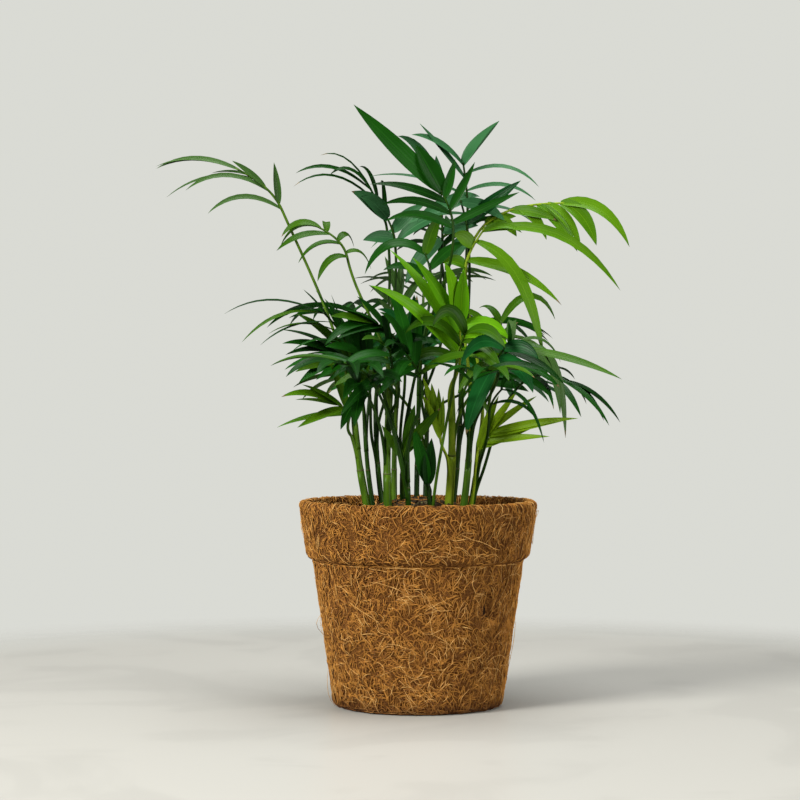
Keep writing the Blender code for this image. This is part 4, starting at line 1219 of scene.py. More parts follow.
def model_crumb():
    """A lump of about one unit's radius, out of round."""
    bpy.ops.object.select_all(action="DESELECT")
    bpy.ops.mesh.primitive_ico_sphere_add(subdivisions=1, radius=1)
    lump = bpy.context.active_object
    start_editing(lump, "VERT")
    bpy.ops.transform.vertex_random(offset=CRUMB_OUT_OF_ROUND, seed=4)
    bpy.ops.transform.resize(value=CRUMB_SHAPE)
    stop_editing()
    return pattern_from(lump, lambda corner: (corner[0], corner[1]))


def add_crumbs(name, material, count, seed, sizes):
    chance = random.Random(seed)
    crumb = model_crumb()
    copies = []
    for _ in range(count):
        radius = (inner_radius(COMPOST_TOP) - CRUMBS_CLEAR) * math.sqrt(chance.random())
        angle = chance.uniform(0, math.tau)
        axis = Vector([chance.gauss(0, 1) for _ in range(3)]).normalized()
        turn = Quaternion(axis, chance.uniform(0, math.tau))
        size = chance.uniform(*sizes)
        height = compost_height(radius) + size * CRUMB_STANDS
        spun = np.array(turn.to_matrix()) @ crumb.corners.T * size
        copies.append((spun.T + (radius * math.cos(angle), radius * math.sin(angle), height)) * MM)
    piece = join_copies(name, crumb, copies, [material], smooth=False)
    hand_over(piece, ["compost"])


def add_strewn_fibres(count, seed):
    """Short fibres that lie on the compost, any way round, a little arched."""
    chance = np.random.default_rng(seed)
    limit = inner_radius(COMPOST_TOP) - STREWN_END_CLEAR
    reach = (inner_radius(COMPOST_TOP) - STREWN_CLEAR) * np.sqrt(chance.uniform(0, 1, count))
    around = chance.uniform(0, math.tau, count)
    heading = chance.uniform(0, math.tau, count)
    step = chance.uniform(*STREWN_LENGTHS, count) / (FIBRE_RINGS - 1)
    turning = chance.normal(0, STREWN_CURL, count)
    points = np.zeros((count, FIBRE_RINGS, 3))
    place = np.stack([reach * np.cos(around), reach * np.sin(around)], axis=1)
    for ring in range(FIBRE_RINGS):
        radius = np.minimum(np.hypot(place[:, 0], place[:, 1]), limit)
        points[:, ring, :2] = place
        arch = STREWN_ARCH * math.sin(math.pi * ring / (FIBRE_RINGS - 1))
        points[:, ring, 2] = [compost_height(value) + STREWN_LIFT + arch for value in radius]
        place = place + np.stack([np.cos(heading), np.sin(heading)], axis=1) * step[:, None]
        heading = heading + turning
    ways = np.zeros_like(points)
    ways[..., 2] = 1
    inside = np.all(np.hypot(points[..., 0], points[..., 1]) < limit, axis=1)
    radii = chance.uniform(*STREWN_RADII, count) * MM
    copies = bend_fibres(points[inside] * MM, ways[inside], radii[inside])
    piece = join_copies("fibres_strewn", FIBRE, copies, [FIBRE_FINISHES["golden"]])
    hand_over(piece, ["compost"])


add_strewn_fibres(260, 23)
dark_crumbs = crumb_material("dark crumbs", CRUMB_DARK, CRUMB_LIGHT, 500.0)
mossy_crumbs = crumb_material("mossy crumbs", MOSS_DARK, MOSS_LIGHT, 500.0)
add_crumbs("crumbs_dark", dark_crumbs, 1700, 21, (0.7, 2.2))
add_crumbs("crumbs_moss", mossy_crumbs, 620, 22, (0.5, 1.7))

# %% [markdown]
# A cane of this palm is ringed like thin bamboo: each ring is the scar of a fallen leaf. Fourteen canes
# stand close together and lean apart a little. Each one's middle line is given by its foot, its tip and a
# slight bow, so one function can say where its middle is and how thick it is there.

# %% The canes' middle lines
CLEAR = 0.3 * MM  # between a cane and what it stands on or carries
CANE_BOW = 0.02  # a cane's bow sideways, as a share of its length
CANE_TAPER = 0.6  # how soon a cane gets thin: sooner under 1, later over it


def cane_point(cane, share):
    """The middle of a cane at a share of its length from the foot."""
    foot = Vector((cane.foot[0] * MM, cane.foot[1] * MM, COMPOST_TOP * MM + CLEAR))
    tip = Vector(cane.tip) * MM
    outward = Vector((foot.x, foot.y, 0))
    bow = outward.normalized() * CANE_BOW * (tip - foot).length * math.sin(math.pi * share)
    return foot.lerp(tip, share) + bow


def cane_radius(cane, share):
    return (cane.foot_radius + (cane.tip_radius - cane.foot_radius) * share**CANE_TAPER) * MM


def whole_length(cane):
    return (cane_point(cane, 1) - cane_point(cane, 0)).length


print("the longest cane in mm:", round(max(map(whole_length, CANES.values())) / MM))

# %% [markdown]
# One length of cane between two rings is modelled once: a disc pulled up into a rod, swollen at the ring and
# flared at the top, where the next sleeve sits. A cane is several of them one above the other, bent along
# its middle line.

# %% Modelling one length of cane
CANE_SIDES = 12
NEAR = 0.01  # how far along a cane its way is measured, as a share of its length
LENGTH_SHAPE = (  # share of the length, radius against the cane's own
    (0.0, 1.03), (0.02, 1.08), (0.04, 1.00), (0.10, 0.95),
    (0.3, 0.95), (0.55, 0.98), (0.8, 1.02), (1.0, 1.03),
)


def share_round(corner):
    """How far round the Z axis a corner is, from 0 to 1."""
    return math.atan2(corner[1], corner[0]) / math.tau + 0.5


def model_cane_length():
    """A round rod one unit long along Z, with a swollen ring at its foot and a flare at its top."""
    rod = add_disc("cane length", CANE_SIDES, LENGTH_SHAPE[0][1])
    start_editing(rod)
    for (before, old), (along, new) in zip(LENGTH_SHAPE, LENGTH_SHAPE[1:]):
        extrude(0, 0, along - before)
        resize(new / old, new / old, 1, centre=(0, 0, along))
    finish_closed()
    return pattern_from(rod, lambda corner: (share_round(corner), corner[2]))


def lay_along(pattern, cane, start, end):
    """A round pattern's corners laid along a cane, between two shares of its length."""
    corners = []
    for x, y, z in pattern.corners:
        share = start + (end - start) * z
        way = (cane_point(cane, share + NEAR) - cane_point(cane, share - NEAR)).normalized()
        first = way.orthogonal().normalized()
        radius = cane_radius(cane, min(max(share, 0), 1))
        corners.append(cane_point(cane, share) + (first * x + way.cross(first) * y) * radius)
    return corners


CANE_LENGTH = model_cane_length()
print("one length of cane has", len(CANE_LENGTH.faces), "faces")

# %% [markdown]
# The canes are not one green. Old ones are nearly black in the shade, some are leaf green, and one thick
# young cane is yellow green. Each finish is streaked along the cane, and the ring of a scar is a dull brown,
# which follows the length's own flat map.

# %% The canes' finishes
CANE_TONES = {
    "dark": ((0.0008, 0.008, 0.0005), (0.018, 0.058, 0.002)),
    "green": ((0.007, 0.030, 0.001), (0.072, 0.150, 0.007)),
    "pale": ((0.085, 0.165, 0.004), (0.270, 0.360, 0.018)),
}
CANE_ROUGHNESS = 0.38
CANE_GLOSS = 0.10
CANE_BUMP = (0.35, 0.25 * MM)
SCAR = (0.100, 0.095, 0.040)
SCAR_WIDTH = 0.022  # of a length of cane
SCAR_SHARE = 0.6  # how much of the scar's colour it has
GREEN_CANES = ("cane_01", "cane_04", "cane_05", "cane_11")
PALE_CANES = ("cane_09",)


def cane_material(tone):
    dark, light = CANE_TONES[tone]
    material, tree, shader = new_material(tone + " cane", CANE_ROUGHNESS, Specular_IOR_Level=CANE_GLOSS)
    clouds = place_group(tree, CLOUDS, Scale=260.0, Upward=0.12, Contrast=2.2)["Share"]
    green = mixed(tree, clouds, opaque(dark), opaque(light))
    flat = add_node(tree, "ShaderNodeUVMap").outputs["UV"]
    along = add_node(tree, "ShaderNodeSeparateXYZ", {"Vector": flat}).outputs["Y"]
    scar = rescaled(tree, along, SCAR_WIDTH, SCAR_WIDTH * 2, SCAR_SHARE, 0)
    tree.links.new(mixed(tree, scar, green, opaque(SCAR)), shader.inputs["Base Color"])
    add_bump(tree, shader, clouds, *CANE_BUMP)
    return material


CANE_FINISHES = {tone: cane_material(tone) for tone in CANE_TONES}
print("the canes' finishes:", list(CANE_FINISHES))

# %% [markdown]
# Now the canes stand up. Each is cut into lengths as near to one size as will fit, and every length is laid
# along its stretch of the middle line. The canes of one tone are joined to one piece.

# %% Standing the canes
LENGTH_OF_CANE = 31 * MM  # between two rings


def tone_of_cane(name):
    if name in PALE_CANES:
        return "pale"
    return "green" if name in GREEN_CANES else "dark"


def add_canes(tone, names):
    copies = []
    for name in names:
        cane = CANES[name]
        count = max(2, round(whole_length(cane) / LENGTH_OF_CANE))
        for number in range(count):
            copies.append(lay_along(CANE_LENGTH, cane, number / count, (number + 1) / count))
    piece = join_copies("canes_" + tone, CANE_LENGTH, copies, [CANE_FINISHES[tone]])
    hand_over(piece, names)


for tone in CANE_TONES:
    add_canes(tone, [name for name in CANES if tone_of_cane(name) == tone])

# %% [markdown]
# A frond grows by a rule: a stalk leaves its cane, arches over as a rib, and carries leaflets in pairs. The
# same rule made the plain solids, and it was tried there with small changes until nothing touched. Here the
# rule is written again, and the solid's own corners tell which of the changes it took.

# %% The rule for a stalk and its rib
STALK_STEPS = 6
RIB_STEPS = 4
STALK_RADIUS = 1.35
KNEE_RADIUS = 1.15
RIB_TIP_RADIUS = 0.8
END_ARCH = 0.6  # how much of its arch a rib has at its tip, where it runs down, against its start
HANDLE = 0.36  # a curve's handle, as a share of the distance between its ends
ROOT_STEP = 0.1  # how far under a stalk's root its cane's way is measured, as a share of the cane
LEAN_OUT = 0.25  # how much a stalk starts outward, against along its cane


def way_along(points, index):
    """The way that a line runs at one of its points."""
    before, after = points[max(index - 1, 0)], points[min(index + 1, len(points) - 1)]
    return (after - before).normalized()


def root_of(frond, away):
    """Where a frond's stalk leaves its cane, the way that it starts, and its radius there."""
    cane = CANES[frond.cane]
    point = cane_point(cane, frond.leaves_at)
    way = (cane_point(cane, frond.leaves_at) - cane_point(cane, frond.leaves_at - ROOT_STEP)).normalized()
    radius = min(STALK_RADIUS * MM, cane_radius(cane, frond.leaves_at))
    if frond.leaves_at == 1:
        return point + way * CLEAR, way, radius
    outward = Vector(frond.knee) * MM - point
    outward = (outward - way * outward.dot(way)).normalized()
    side = point + outward * (cane_radius(cane, frond.leaves_at) + away)
    return side, (way + outward * LEAN_OUT).normalized(), radius


def rib_line(frond, sway, away, finer=1):
    """The middle line of a frond's stalk and rib, with its radii. finer multiplies its points."""
    root, root_way, root_radius = root_of(frond, away)
    knee, tip = Vector(frond.knee) * MM, Vector(frond.tip) * MM
    chord = (tip - knee).normalized()
    rise = (UP - chord * UP.dot(chord)).normalized()
    start, end = math.radians(frond.arch), math.radians(frond.arch) * END_ARCH
    knee_way = chord * math.cos(start) + rise * math.sin(start)
    tip_way = chord * math.cos(end) - rise * math.sin(end)
    reach = (knee - root).length * HANDLE
    low, high = root + root_way * reach + sway, knee - knee_way * reach + sway
    stalk = interpolate_bezier(root, low, high, knee, STALK_STEPS * finer + 1)
    reach = (tip - knee).length * HANDLE
    rib = interpolate_bezier(
        knee, knee + knee_way * reach, tip - tip_way * reach, tip, RIB_STEPS * finer + 1
    )
    shares = [step / (STALK_STEPS * finer) for step in range(STALK_STEPS * finer + 1)]
    radii = [root_radius + (KNEE_RADIUS * MM - root_radius) * share for share in shares]
    shares = [step / (RIB_STEPS * finer) for step in range(1, RIB_STEPS * finer + 1)]
    radii += [(KNEE_RADIUS + (RIB_TIP_RADIUS - KNEE_RADIUS) * share) * MM for share in shares]
    return stalk + rib[1:], radii


def tube(points, radii, sides):
    """The rings of a tube along a line, each a list of corners."""
    rings = []
    across = way_along(points, 0).orthogonal().normalized()
    for index, (point, radius) in enumerate(zip(points, radii)):
        way = way_along(points, index)
        across = (across - way * across.dot(way)).normalized()
        turns_round = [Quaternion(way, math.tau * side / sides) for side in range(sides)]
        rings.append([point + turn @ across * radius for turn in turns_round])
    return rings


print("points in a solid's line:", STALK_STEPS + RIB_STEPS + 1)

# %% [markdown]
# When the solids were made, a stalk that met a neighbour leaned aside until it was clear. The same leanings
# are tried here in the same order, and the one whose tube has its corners where the solid has them is the
# one that was taken. A search tree of the solid's corners makes that quick.

# %% Reading which way a stalk leans
SAME_PLACE = 0.02 * MM  # how near a solid's corner has to be to count as the same
SWAY_SIZES = (3, 6, 9, 12, 16, 20)
SWAY_WAYS = 8
LEAST_AWAY = 0.2  # how near its cane a stalk's middle may be, and the steps outward from there
AWAY_STEP = 0.15
AWAY_STEPS = 16
SOLID_SIDES = 3  # of a stalk's tube in the solids
RING_TRIED = 2  # the ring that tells, far enough up to be clear of the cane


def corners_of(name):
    """A solid's corners, ready to be searched."""
    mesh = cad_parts[name].data
    tree = KDTree(len(mesh.vertices))
    for number, corner in enumerate(mesh.vertices):
        tree.insert(corner.co, number)
    tree.balance()
    return tree


def sways():
    """The ways in which a stalk may lean aside to pass its neighbours, the least first."""
    yield Vector((0, 0, 0))
    for size in SWAY_SIZES:
        for turn in range(SWAY_WAYS):
            angle = math.tau * turn / SWAY_WAYS
            yield Vector((math.cos(angle), math.sin(angle), 0)) * size * MM


def find_rib(frond, corners):
    """The sway and the distance from its cane that a frond's stalk has."""
    for sway in sways():
        for step in range(1 if frond.leaves_at == 1 else AWAY_STEPS):
            away = (LEAST_AWAY + AWAY_STEP * step) * MM
            line, radii = rib_line(frond, sway, away)
            rings = tube(line[: RING_TRIED + 2], radii, SOLID_SIDES)
            if all(corners.find(corner)[2] < SAME_PLACE for corner in rings[RING_TRIED]):
                return sway, away
    return None


print("leanings that are tried:", len(list(sways())))

# %% [markdown]
# Each leaflet leaves the rib at an angle and bends down under its own weight. Its middle line is a row of
# points that turn downward more and more. The widths, lengths and angles vary a little, drawn from a seeded
# sequence in the same order as in the solids.

# %% The rule for the leaflets
LEAF_LINE_STEPS = 24
LEAF_BEND = 1.4  # how late along a leaflet its droop sets in
LEAF_RISE = 8  # degrees that a leaflet starts above the rib's face
LAST_PLACE = 0.93  # how far along the rib the last leaflets are sunk in it, as a share of it
STAGGER = 0.16  # half of how far the right leaflet of a pair is beyond the left, in pairs
SIDE_CHANGE = 1.25  # how fast a side goes from its first leaflet's values to its last one's
ANGLE_VARIES = 5  # degrees to either side, and below the least and the most share of each size
LENGTH_VARIES = (0.88, 1.05)
WIDTH_VARIES = (0.92, 1.08)
DROOP_VARIES = (0.8, 1.25)
LEVEL_VARIES = (0.6, 1.4)
TRIED_LENGTHS = (1.0, 0.85, 0.7)  # the changes that a solid may have made, the least first
TRIED_LIFTS = (0, 9, -9, 18, -18)
TRIED_SWINGS = (0, 8, -8, 16, -16)


def drooping_line(root, way, length, droop):
    """The middle line of a leaflet that leaves its root one way and bends down under its own weight."""
    points = [root.copy()]
    for step in range(LEAF_LINE_STEPS):
        along = (step + 0.5) / LEAF_LINE_STEPS
        here = (way - UP * droop * along**LEAF_BEND).normalized()
        points.append(points[-1] + here * length / LEAF_LINE_STEPS)
    return points


def rib_place(line, share):
    """The point at a share of the rib, from its first leaflets to its last, and the way that it runs."""
    place = STALK_STEPS + share * RIB_STEPS
    index = min(int(place), len(line) - 2)
    return line[index].lerp(line[index + 1], place - index), way_along(line, round(place))


def turns():
    """The changes to a leaflet that may be tried: its length's share and two angles, the least first."""
    for length in TRIED_LENGTHS:
        for lift in TRIED_LIFTS:
            for swing in TRIED_SWINGS:
                yield length, swing, lift


def leaflet_line(root, way, outward, over, angle, length, droop, change):
    """A leaflet's middle line with one of the changes. outward and over are square to the rib's way."""
    scale, swing, lift = change
    aim = math.radians(angle + swing)
    rise = math.radians(LEAF_RISE + lift)
    flat = way * math.cos(aim) + outward * math.sin(aim)
    start = flat * math.cos(rise) + over * math.sin(rise)
    return drooping_line(root, start, length * scale * MM, droop)


def leaflet_lines(name, frond, line):
    """Every leaflet of a frond: a function that gives its changed middle line, its face and its width."""
    chance = random.Random(name)
    face = Vector(frond.face).normalized()
    for place in range(frond.pairs + 1):
        last = place == frond.pairs
        share = place / frond.pairs if frond.pairs else 1.0
        for side in (-1, 1):
            stagger = 0 if last else STAGGER * (side + 1) / max(frond.pairs, 1)
            root, way = rib_place(line, min(share + stagger, LAST_PLACE))
            across = way.cross(face).normalized()
            over = across.cross(way)
            side_of = frond.right if side > 0 else frond.left
            reach, spread, droop = (
                pair[side > 0] if last else pair[0] + (pair[1] - pair[0]) * share * SIDE_CHANGE
                for pair in (frond.end if last else side_of)
            )
            angle = spread + chance.uniform(-ANGLE_VARIES, ANGLE_VARIES)
            length = reach * chance.uniform(*LENGTH_VARIES)
            width = (frond.end_width if last else frond.width) * chance.uniform(*WIDTH_VARIES)
            droop *= chance.uniform(*DROOP_VARIES)
            leaf_face = (face + UP * frond.level * chance.uniform(*LEVEL_VARIES)).normalized()
            changed = partial(leaflet_line, root, way, across * side, over, angle, length, droop)
            yield changed, leaf_face, width


def find_leaflet(changed, corners):
    """A leaflet's middle line with the change that its solid took, or None where the solid left it out."""
    for change in turns():
        line = changed(change)
        if corners.find(line[-1])[2] < SAME_PLACE:
            return line
    return None


print("changes that are tried on a leaflet:", len(list(turns())))

# %% [markdown]
# One leaflet is modelled as a slim blade. A four-cornered disc is pressed into the section of a leaf, with a
# shallow groove along the middle vein and a keel under it, and then extruded along the leaf's length and
# resized to its outline each time. Every leaflet on the plant is this blade, bent along its own line.
# Four corners and a dozen steps are enough, because the halves of a leaflet are nearly flat.

# %% Modelling one leaflet
BLADE_RINGS = (0.0, 0.035, 0.10, 0.18, 0.27, 0.37, 0.47, 0.57, 0.67, 0.76, 0.85, 0.93, 1.0)
BLADE_SECTION = (  # how far aside, the height in the disc, the height in the leaf, in half widths
    (0.0, 1.0, 0.03), (1.0, 0.0, 0.06), (0.0, -1.0, -0.07),
)
BLADE_SWELL, BLADE_TAPER = 0.60, 0.95  # how slowly a blade widens from its base, and narrows to its tip
BLADE_ENDS = (0.03, 1.001)  # where its outline would come to nothing, just beyond base and tip
WIDEST = 0.3735  # what the outline's rule gives where the blade is widest
BASE_THICKNESS = 0.6  # of a blade at its base, against its section
TOUCHING = 0.01  # how near a corner has to be to the place that is asked for
FACES_UP = 0.05  # how much a face has to look up to be on the upper side
UPPER, UNDER, DRY = 0, 1, 2


def blade_width(along):
    """A leaflet's width at a share of its length: quickly full, widest before the middle, a long taper."""
    before, beyond = BLADE_ENDS
    return (along + before) ** BLADE_SWELL * (beyond - along) ** BLADE_TAPER / WIDEST


def select_corners(obj, test):
    """Selects an object's corners by their place, in edit mode."""
    stop_editing()
    mesh = obj.data
    for edge_or_face in list(mesh.edges) + list(mesh.polygons):
        edge_or_face.select = False
    for corner in mesh.vertices:
        corner.select = test(corner.co)
    bpy.ops.object.mode_set(mode="EDIT")


def model_blade():
    """A blade one unit long along Y and two units wide along X, whose upper side looks up Z."""
    blade = add_disc("leaflet", 4, 1, turn=(math.radians(90), 0, 0))
    start_editing(blade, "VERT")
    for aside, before, after in BLADE_SECTION:
        select_corners(
            blade, lambda co: abs(abs(co.x) - aside) < TOUCHING and abs(co.z - before) < TOUCHING
        )
        bpy.ops.transform.translate(value=(0, 0, after - before))
    bpy.ops.mesh.select_mode(type="FACE")
    bpy.ops.mesh.select_all(action="SELECT")
    resize(blade_width(0), 1, BASE_THICKNESS, centre=(0, 0, 0))
    for before, along in zip(BLADE_RINGS, BLADE_RINGS[1:]):
        extrude(0, along - before, 0)
        share = blade_width(along) / blade_width(before)
        resize(share, 1, share**0.5, centre=(0, along, 0))
    finish_closed()
    for face in blade.data.polygons:
        face.material_index = UPPER if face.normal.z > FACES_UP else UNDER
    return pattern_from(blade, lambda corner: (0.5 + 0.5 * corner[0] / blade_width(corner[1]), corner[1]))


BLADE = model_blade()
print("one leaflet has", len(BLADE.faces), "faces")

# %% [markdown]
# The veins of a leaflet run from its base to its tip, so they follow the blade's own flat map. The group
# below turns the distance from the middle vein into ridges, and marks the middle vein itself, which is a
# little paler than the blade.

# %% The group for veins
SIDE_VEINS = 3.0
MIDDLE_VEIN = 0.035  # half its width, as a share of the blade's


def veins_group():
    values = {"Count": SIDE_VEINS, "Middle": MIDDLE_VEIN}
    tree, given, result = new_group("leaf veins", values, ["Height", "Middle Vein"])
    flat = add_node(tree, "ShaderNodeUVMap").outputs["UV"]
    across = add_node(tree, "ShaderNodeSeparateXYZ", {"Vector": flat}).outputs["X"]
    aside = worked_out(tree, "ABSOLUTE", worked_out(tree, "SUBTRACT", across, 0.5))
    waves = worked_out(tree, "MULTIPLY", given["Count"], math.tau * 2)
    wave = worked_out(tree, "COSINE", worked_out(tree, "MULTIPLY", aside, waves))
    middle = rescaled(tree, aside, 0, given["Middle"], 1, 0, easing="SMOOTHSTEP")
    tree.links.new(rescaled(tree, wave, -1, 1), result.inputs["Height"])
    tree.links.new(middle, result.inputs["Middle Vein"])
    return tree


VEINS = veins_group()
print("nodes in the veins' group:", len(VEINS.nodes))

# %% [markdown]
# A leaflet's finish has three parts: the glossy upper side, the duller and paler underside, and the dry
# brown tip that some old leaflets have. The plant has leaves of many ages, from nearly black green to young
# yellow green, and there are eight looks: six for the ages, and two copies for where leaves sit, a darker
# blue green with painted shade for leaves that the crown shades and a lighter bright green with painted
# light for a frond deep in the crown. The blue look's bluish cast is partly painted sheen. Within a look a
# number on each leaflet makes it lighter or darker than its neighbours, and clouds vary it along its length.

# %% The leaflets' finishes
LOOKS = {  # the darker and the lighter colour of the upper side, and the middle vein
    "deep": ((0.0003, 0.007, 0.0003), (0.008, 0.072, 0.003), (0.012, 0.082, 0.005)),
    # the blue look's bluish cast is partly the leaves' own and partly painted sheen, the pale room mirrored
    # in leaves that face up
    "blue": ((0.006, 0.045, 0.012), (0.042, 0.145, 0.052), (0.052, 0.160, 0.060)),
    # a darker copy of the blue look, with painted shade for leaves that the crown shades
    "blue_in_painted_shade": ((0.0005, 0.018, 0.002), (0.008, 0.095, 0.016), (0.012, 0.105, 0.020)),
    "mid": ((0.014, 0.046, 0.006), (0.054, 0.118, 0.026), (0.068, 0.138, 0.032)),
    "fresh": ((0.010, 0.048, 0.001), (0.040, 0.108, 0.002), (0.052, 0.125, 0.005)),
    "bright": ((0.028, 0.100, 0.001), (0.076, 0.180, 0.003), (0.090, 0.200, 0.006)),
    # a lighter copy of the bright look, with painted light for a frond deep in the crown
    "bright_with_painted_light": ((0.040, 0.165, 0.001), (0.135, 0.350, 0.004), (0.150, 0.370, 0.007)),
    "lime": ((0.060, 0.140, 0.002), (0.185, 0.310, 0.006), (0.200, 0.330, 0.010)),
}
TONE = "tone"  # the attribute that holds how light each leaflet is, from 0 to 1
TONE_SHARE = 0.6  # how much of the lightness it decides, against the clouds
LEAF_GLOSS = 0.07
UPPER_ROUGHNESS = 0.36
UNDER_ROUGHNESS = 0.50
ROUGHNESS_VARIES = (-0.07, 0.08)
UNDERSIDE_PALER = 1.25
VEIN_BUMP = (0.3, 0.15 * MM)
DRY_DARK = (0.060, 0.042, 0.014)
DRY_LIGHT = (0.165, 0.125, 0.048)


def blade_material(name, colours, roughness):
    dark, light, middle = colours
    material, tree, shader = new_material(name, roughness, Specular_IOR_Level=LEAF_GLOSS)
    clouds = place_group(tree, CLOUDS, Scale=55.0, Contrast=1.5)["Share"]
    veins = place_group(tree, VEINS)
    tone = add_node(tree, "ShaderNodeAttribute", attribute_name=TONE).outputs["Fac"]
    sockets = {0: TONE_SHARE, 2: clouds, 3: tone}
    share = add_node(tree, "ShaderNodeMix", sockets, data_type="FLOAT").outputs[0]
    ground = mixed(tree, share, opaque(dark), opaque(light))
    tree.links.new(mixed(tree, veins["Middle Vein"], ground, opaque(middle)), shader.inputs["Base Color"])
    smoothest, roughest = (roughness + change for change in ROUGHNESS_VARIES)
    tree.links.new(rescaled(tree, clouds, 0, 1, smoothest, roughest), shader.inputs["Roughness"])
    add_bump(tree, shader, veins["Height"], *VEIN_BUMP)
    return material


def dry_material():
    material, tree, shader = new_material("dry tip", 0.85, Specular_IOR_Level=0.2)
    clouds = place_group(tree, CLOUDS, Scale=300.0, Contrast=2.0)["Share"]
    tree.links.new(mixed(tree, clouds, opaque(DRY_DARK), opaque(DRY_LIGHT)), shader.inputs["Base Color"])
    return material


def finishes_of_look(look, dry):
    """The three finishes of a look, in the order of the blade's material numbers."""
    paler = [tuple(channel * UNDERSIDE_PALER for channel in colour) for colour in LOOKS[look]]
    upper = blade_material(look + " leaf", LOOKS[look], UPPER_ROUGHNESS)
    under = blade_material(look + " leaf below", paler, UNDER_ROUGHNESS)
    return [upper, under, dry]


print("looks of leaflet:", len(LOOKS))

# %% [markdown]
# The straight blade is now bent along a leaflet's middle line. At every step the way along, the way aside
# and the way up of the leaflet are worked out, and the blade's corners are placed by them. Its halves are
# raised a little, like a half open book, and the tip is twisted against the base, each by its own amount.

# %% Bending a blade along its line


def bend_blade(line, face, width, fold, twist):
    """The blade's corners laid along a leaflet's middle line, folded along its middle and twisted."""
    points = np.array([tuple(point) for point in line])
    uppers, asides = [], []
    upper = face.copy()
    for index in range(len(line)):
        way = way_along(line, index)
        upper = (upper - way * upper.dot(way)).normalized()
        turned = Quaternion(way, twist * index / LEAF_LINE_STEPS) @ upper
        uppers.append(tuple(turned))
        asides.append(tuple(way.cross(turned)))
    along = BLADE.corners[:, 1] * LEAF_LINE_STEPS
    steps = np.arange(len(line))
    middle, aside, above = (
        np.stack([np.interp(along, steps, np.array(rows)[:, axis]) for axis in range(3)], axis=1)
        for rows in (points, asides, uppers)
    )
    half = width / 2 * MM
    across = BLADE.corners[:, 0] * half
    raised = (BLADE.corners[:, 2] + fold * np.abs(BLADE.corners[:, 0])) * half
    return middle + aside * across[:, None] + above * raised[:, None]


# %% [markdown]
# A stalk is a round rod with many rings, modelled once and laid along every frond's stalk and rib. It is as
# thick as a pencil lead. Its base is a sleeve that lies down along the cane, and where a frond grows from a
# cane's top, the sleeve is as stout as the cane and the stalk narrows out of it.

# %% Modelling one stalk
STALK_SIDES = 8
FINER = 4  # how many times more points the stalk's line has here than in its solid
SLEEVE_RINGS = 6
STALK_RINGS = (STALK_STEPS + RIB_STEPS) * FINER + 1 + SLEEVE_RINGS
STALK_FLAT_FROM = 0.2  # where on the canes' flat map a stalk starts, beyond the scar


def model_stalk():
    rod = add_disc("stalk", STALK_SIDES, 1)
    start_editing(rod)
    for _ in range(1, STALK_RINGS):
        extrude(0, 0, 1 / (STALK_RINGS - 1))
    finish_closed()
    rest = 1 - STALK_FLAT_FROM
    return pattern_from(rod, lambda corner: (share_round(corner), STALK_FLAT_FROM + rest * corner[2]))


STALK = model_stalk()
print("one stalk has", len(STALK.faces), "faces")

# %% [markdown]
# Two helpers lay the stalk. The first puts the sleeve's points before the line of stalk and rib. The second
# places the rod's corners on the rings of a tube along that line.

# %% Bending a stalk along its line
SLIMMER = 0.74  # a round stalk against the three-sided one of its solid, whose corners stand out
SLEEVE_LENGTH = 15 * MM  # how far down its cane a stalk's base runs
SLEEVE_SIZE = 0.75  # its radius there, against the cane's
TOP_SLEEVE_SIZE = 1.06
SLEEVE_SUNK = 0.15  # how far out its lowest end is, against the stalk's root
SLEEVE_BEND = 1.5  # how late it leaves the cane
LOWEST_SHARE = 0.02  # of its cane, where a sleeve may begin
NARROWS_OVER = 34 * MM  # how far above a cane's top the stalk is still stouter than its own size


def with_sleeve(frond, line, radii):
    """The same line and radii, with the sleeve at the stalk's base added."""
    cane = CANES[frond.cane]
    if frond.leaves_at == 1:
        start = cane_radius(cane, 1) * TOP_SLEEVE_SIZE
        run = [0.0]
        for before, after in zip(line, line[1:]):
            run.append(run[-1] + (after - before).length)
        ease = [max(0, 1 - along / NARROWS_OVER) ** 2 for along in run]
        radii = [radius + max(start - radius, 0) * share for radius, share in zip(radii, ease)]
    length = whole_length(cane)
    beside = line[0] - cane_point(cane, frond.leaves_at)
    stoutness = TOP_SLEEVE_SIZE if frond.leaves_at == 1 else SLEEVE_SIZE
    added, sizes = [], []
    for ring in range(SLEEVE_RINGS):
        up = ring / SLEEVE_RINGS
        share = max(frond.leaves_at - SLEEVE_LENGTH / length * (1 - up), LOWEST_SHARE)
        out = SLEEVE_SUNK + (1 - SLEEVE_SUNK) * up**SLEEVE_BEND
        added.append(cane_point(cane, share) + beside * out)
        full = cane_radius(cane, share) * stoutness
        sizes.append(full + (radii[0] - full) * up)
    return added + line, sizes + radii


def bend_stalk(line, radii):
    """The stalk's corners laid along its line, as thick as the radii say."""
    rings = np.array(tube(line, radii, STALK_SIDES))
    ring = np.rint(STALK.corners[:, 2] * (STALK_RINGS - 1)).astype(int)
    angle = np.arctan2(STALK.corners[:, 1], STALK.corners[:, 0]) / math.tau * STALK_SIDES
    return rings[ring, np.rint(angle).astype(int) % STALK_SIDES]


# %% [markdown]
# What is left is how the leaflets differ from each other. Most of a frond's leaflets have its own look, a
# few deep green ones are younger and lighter, and a few old ones have a dry tip. Some are slimmer or wider
# than their solids, which are all cut to one outline.

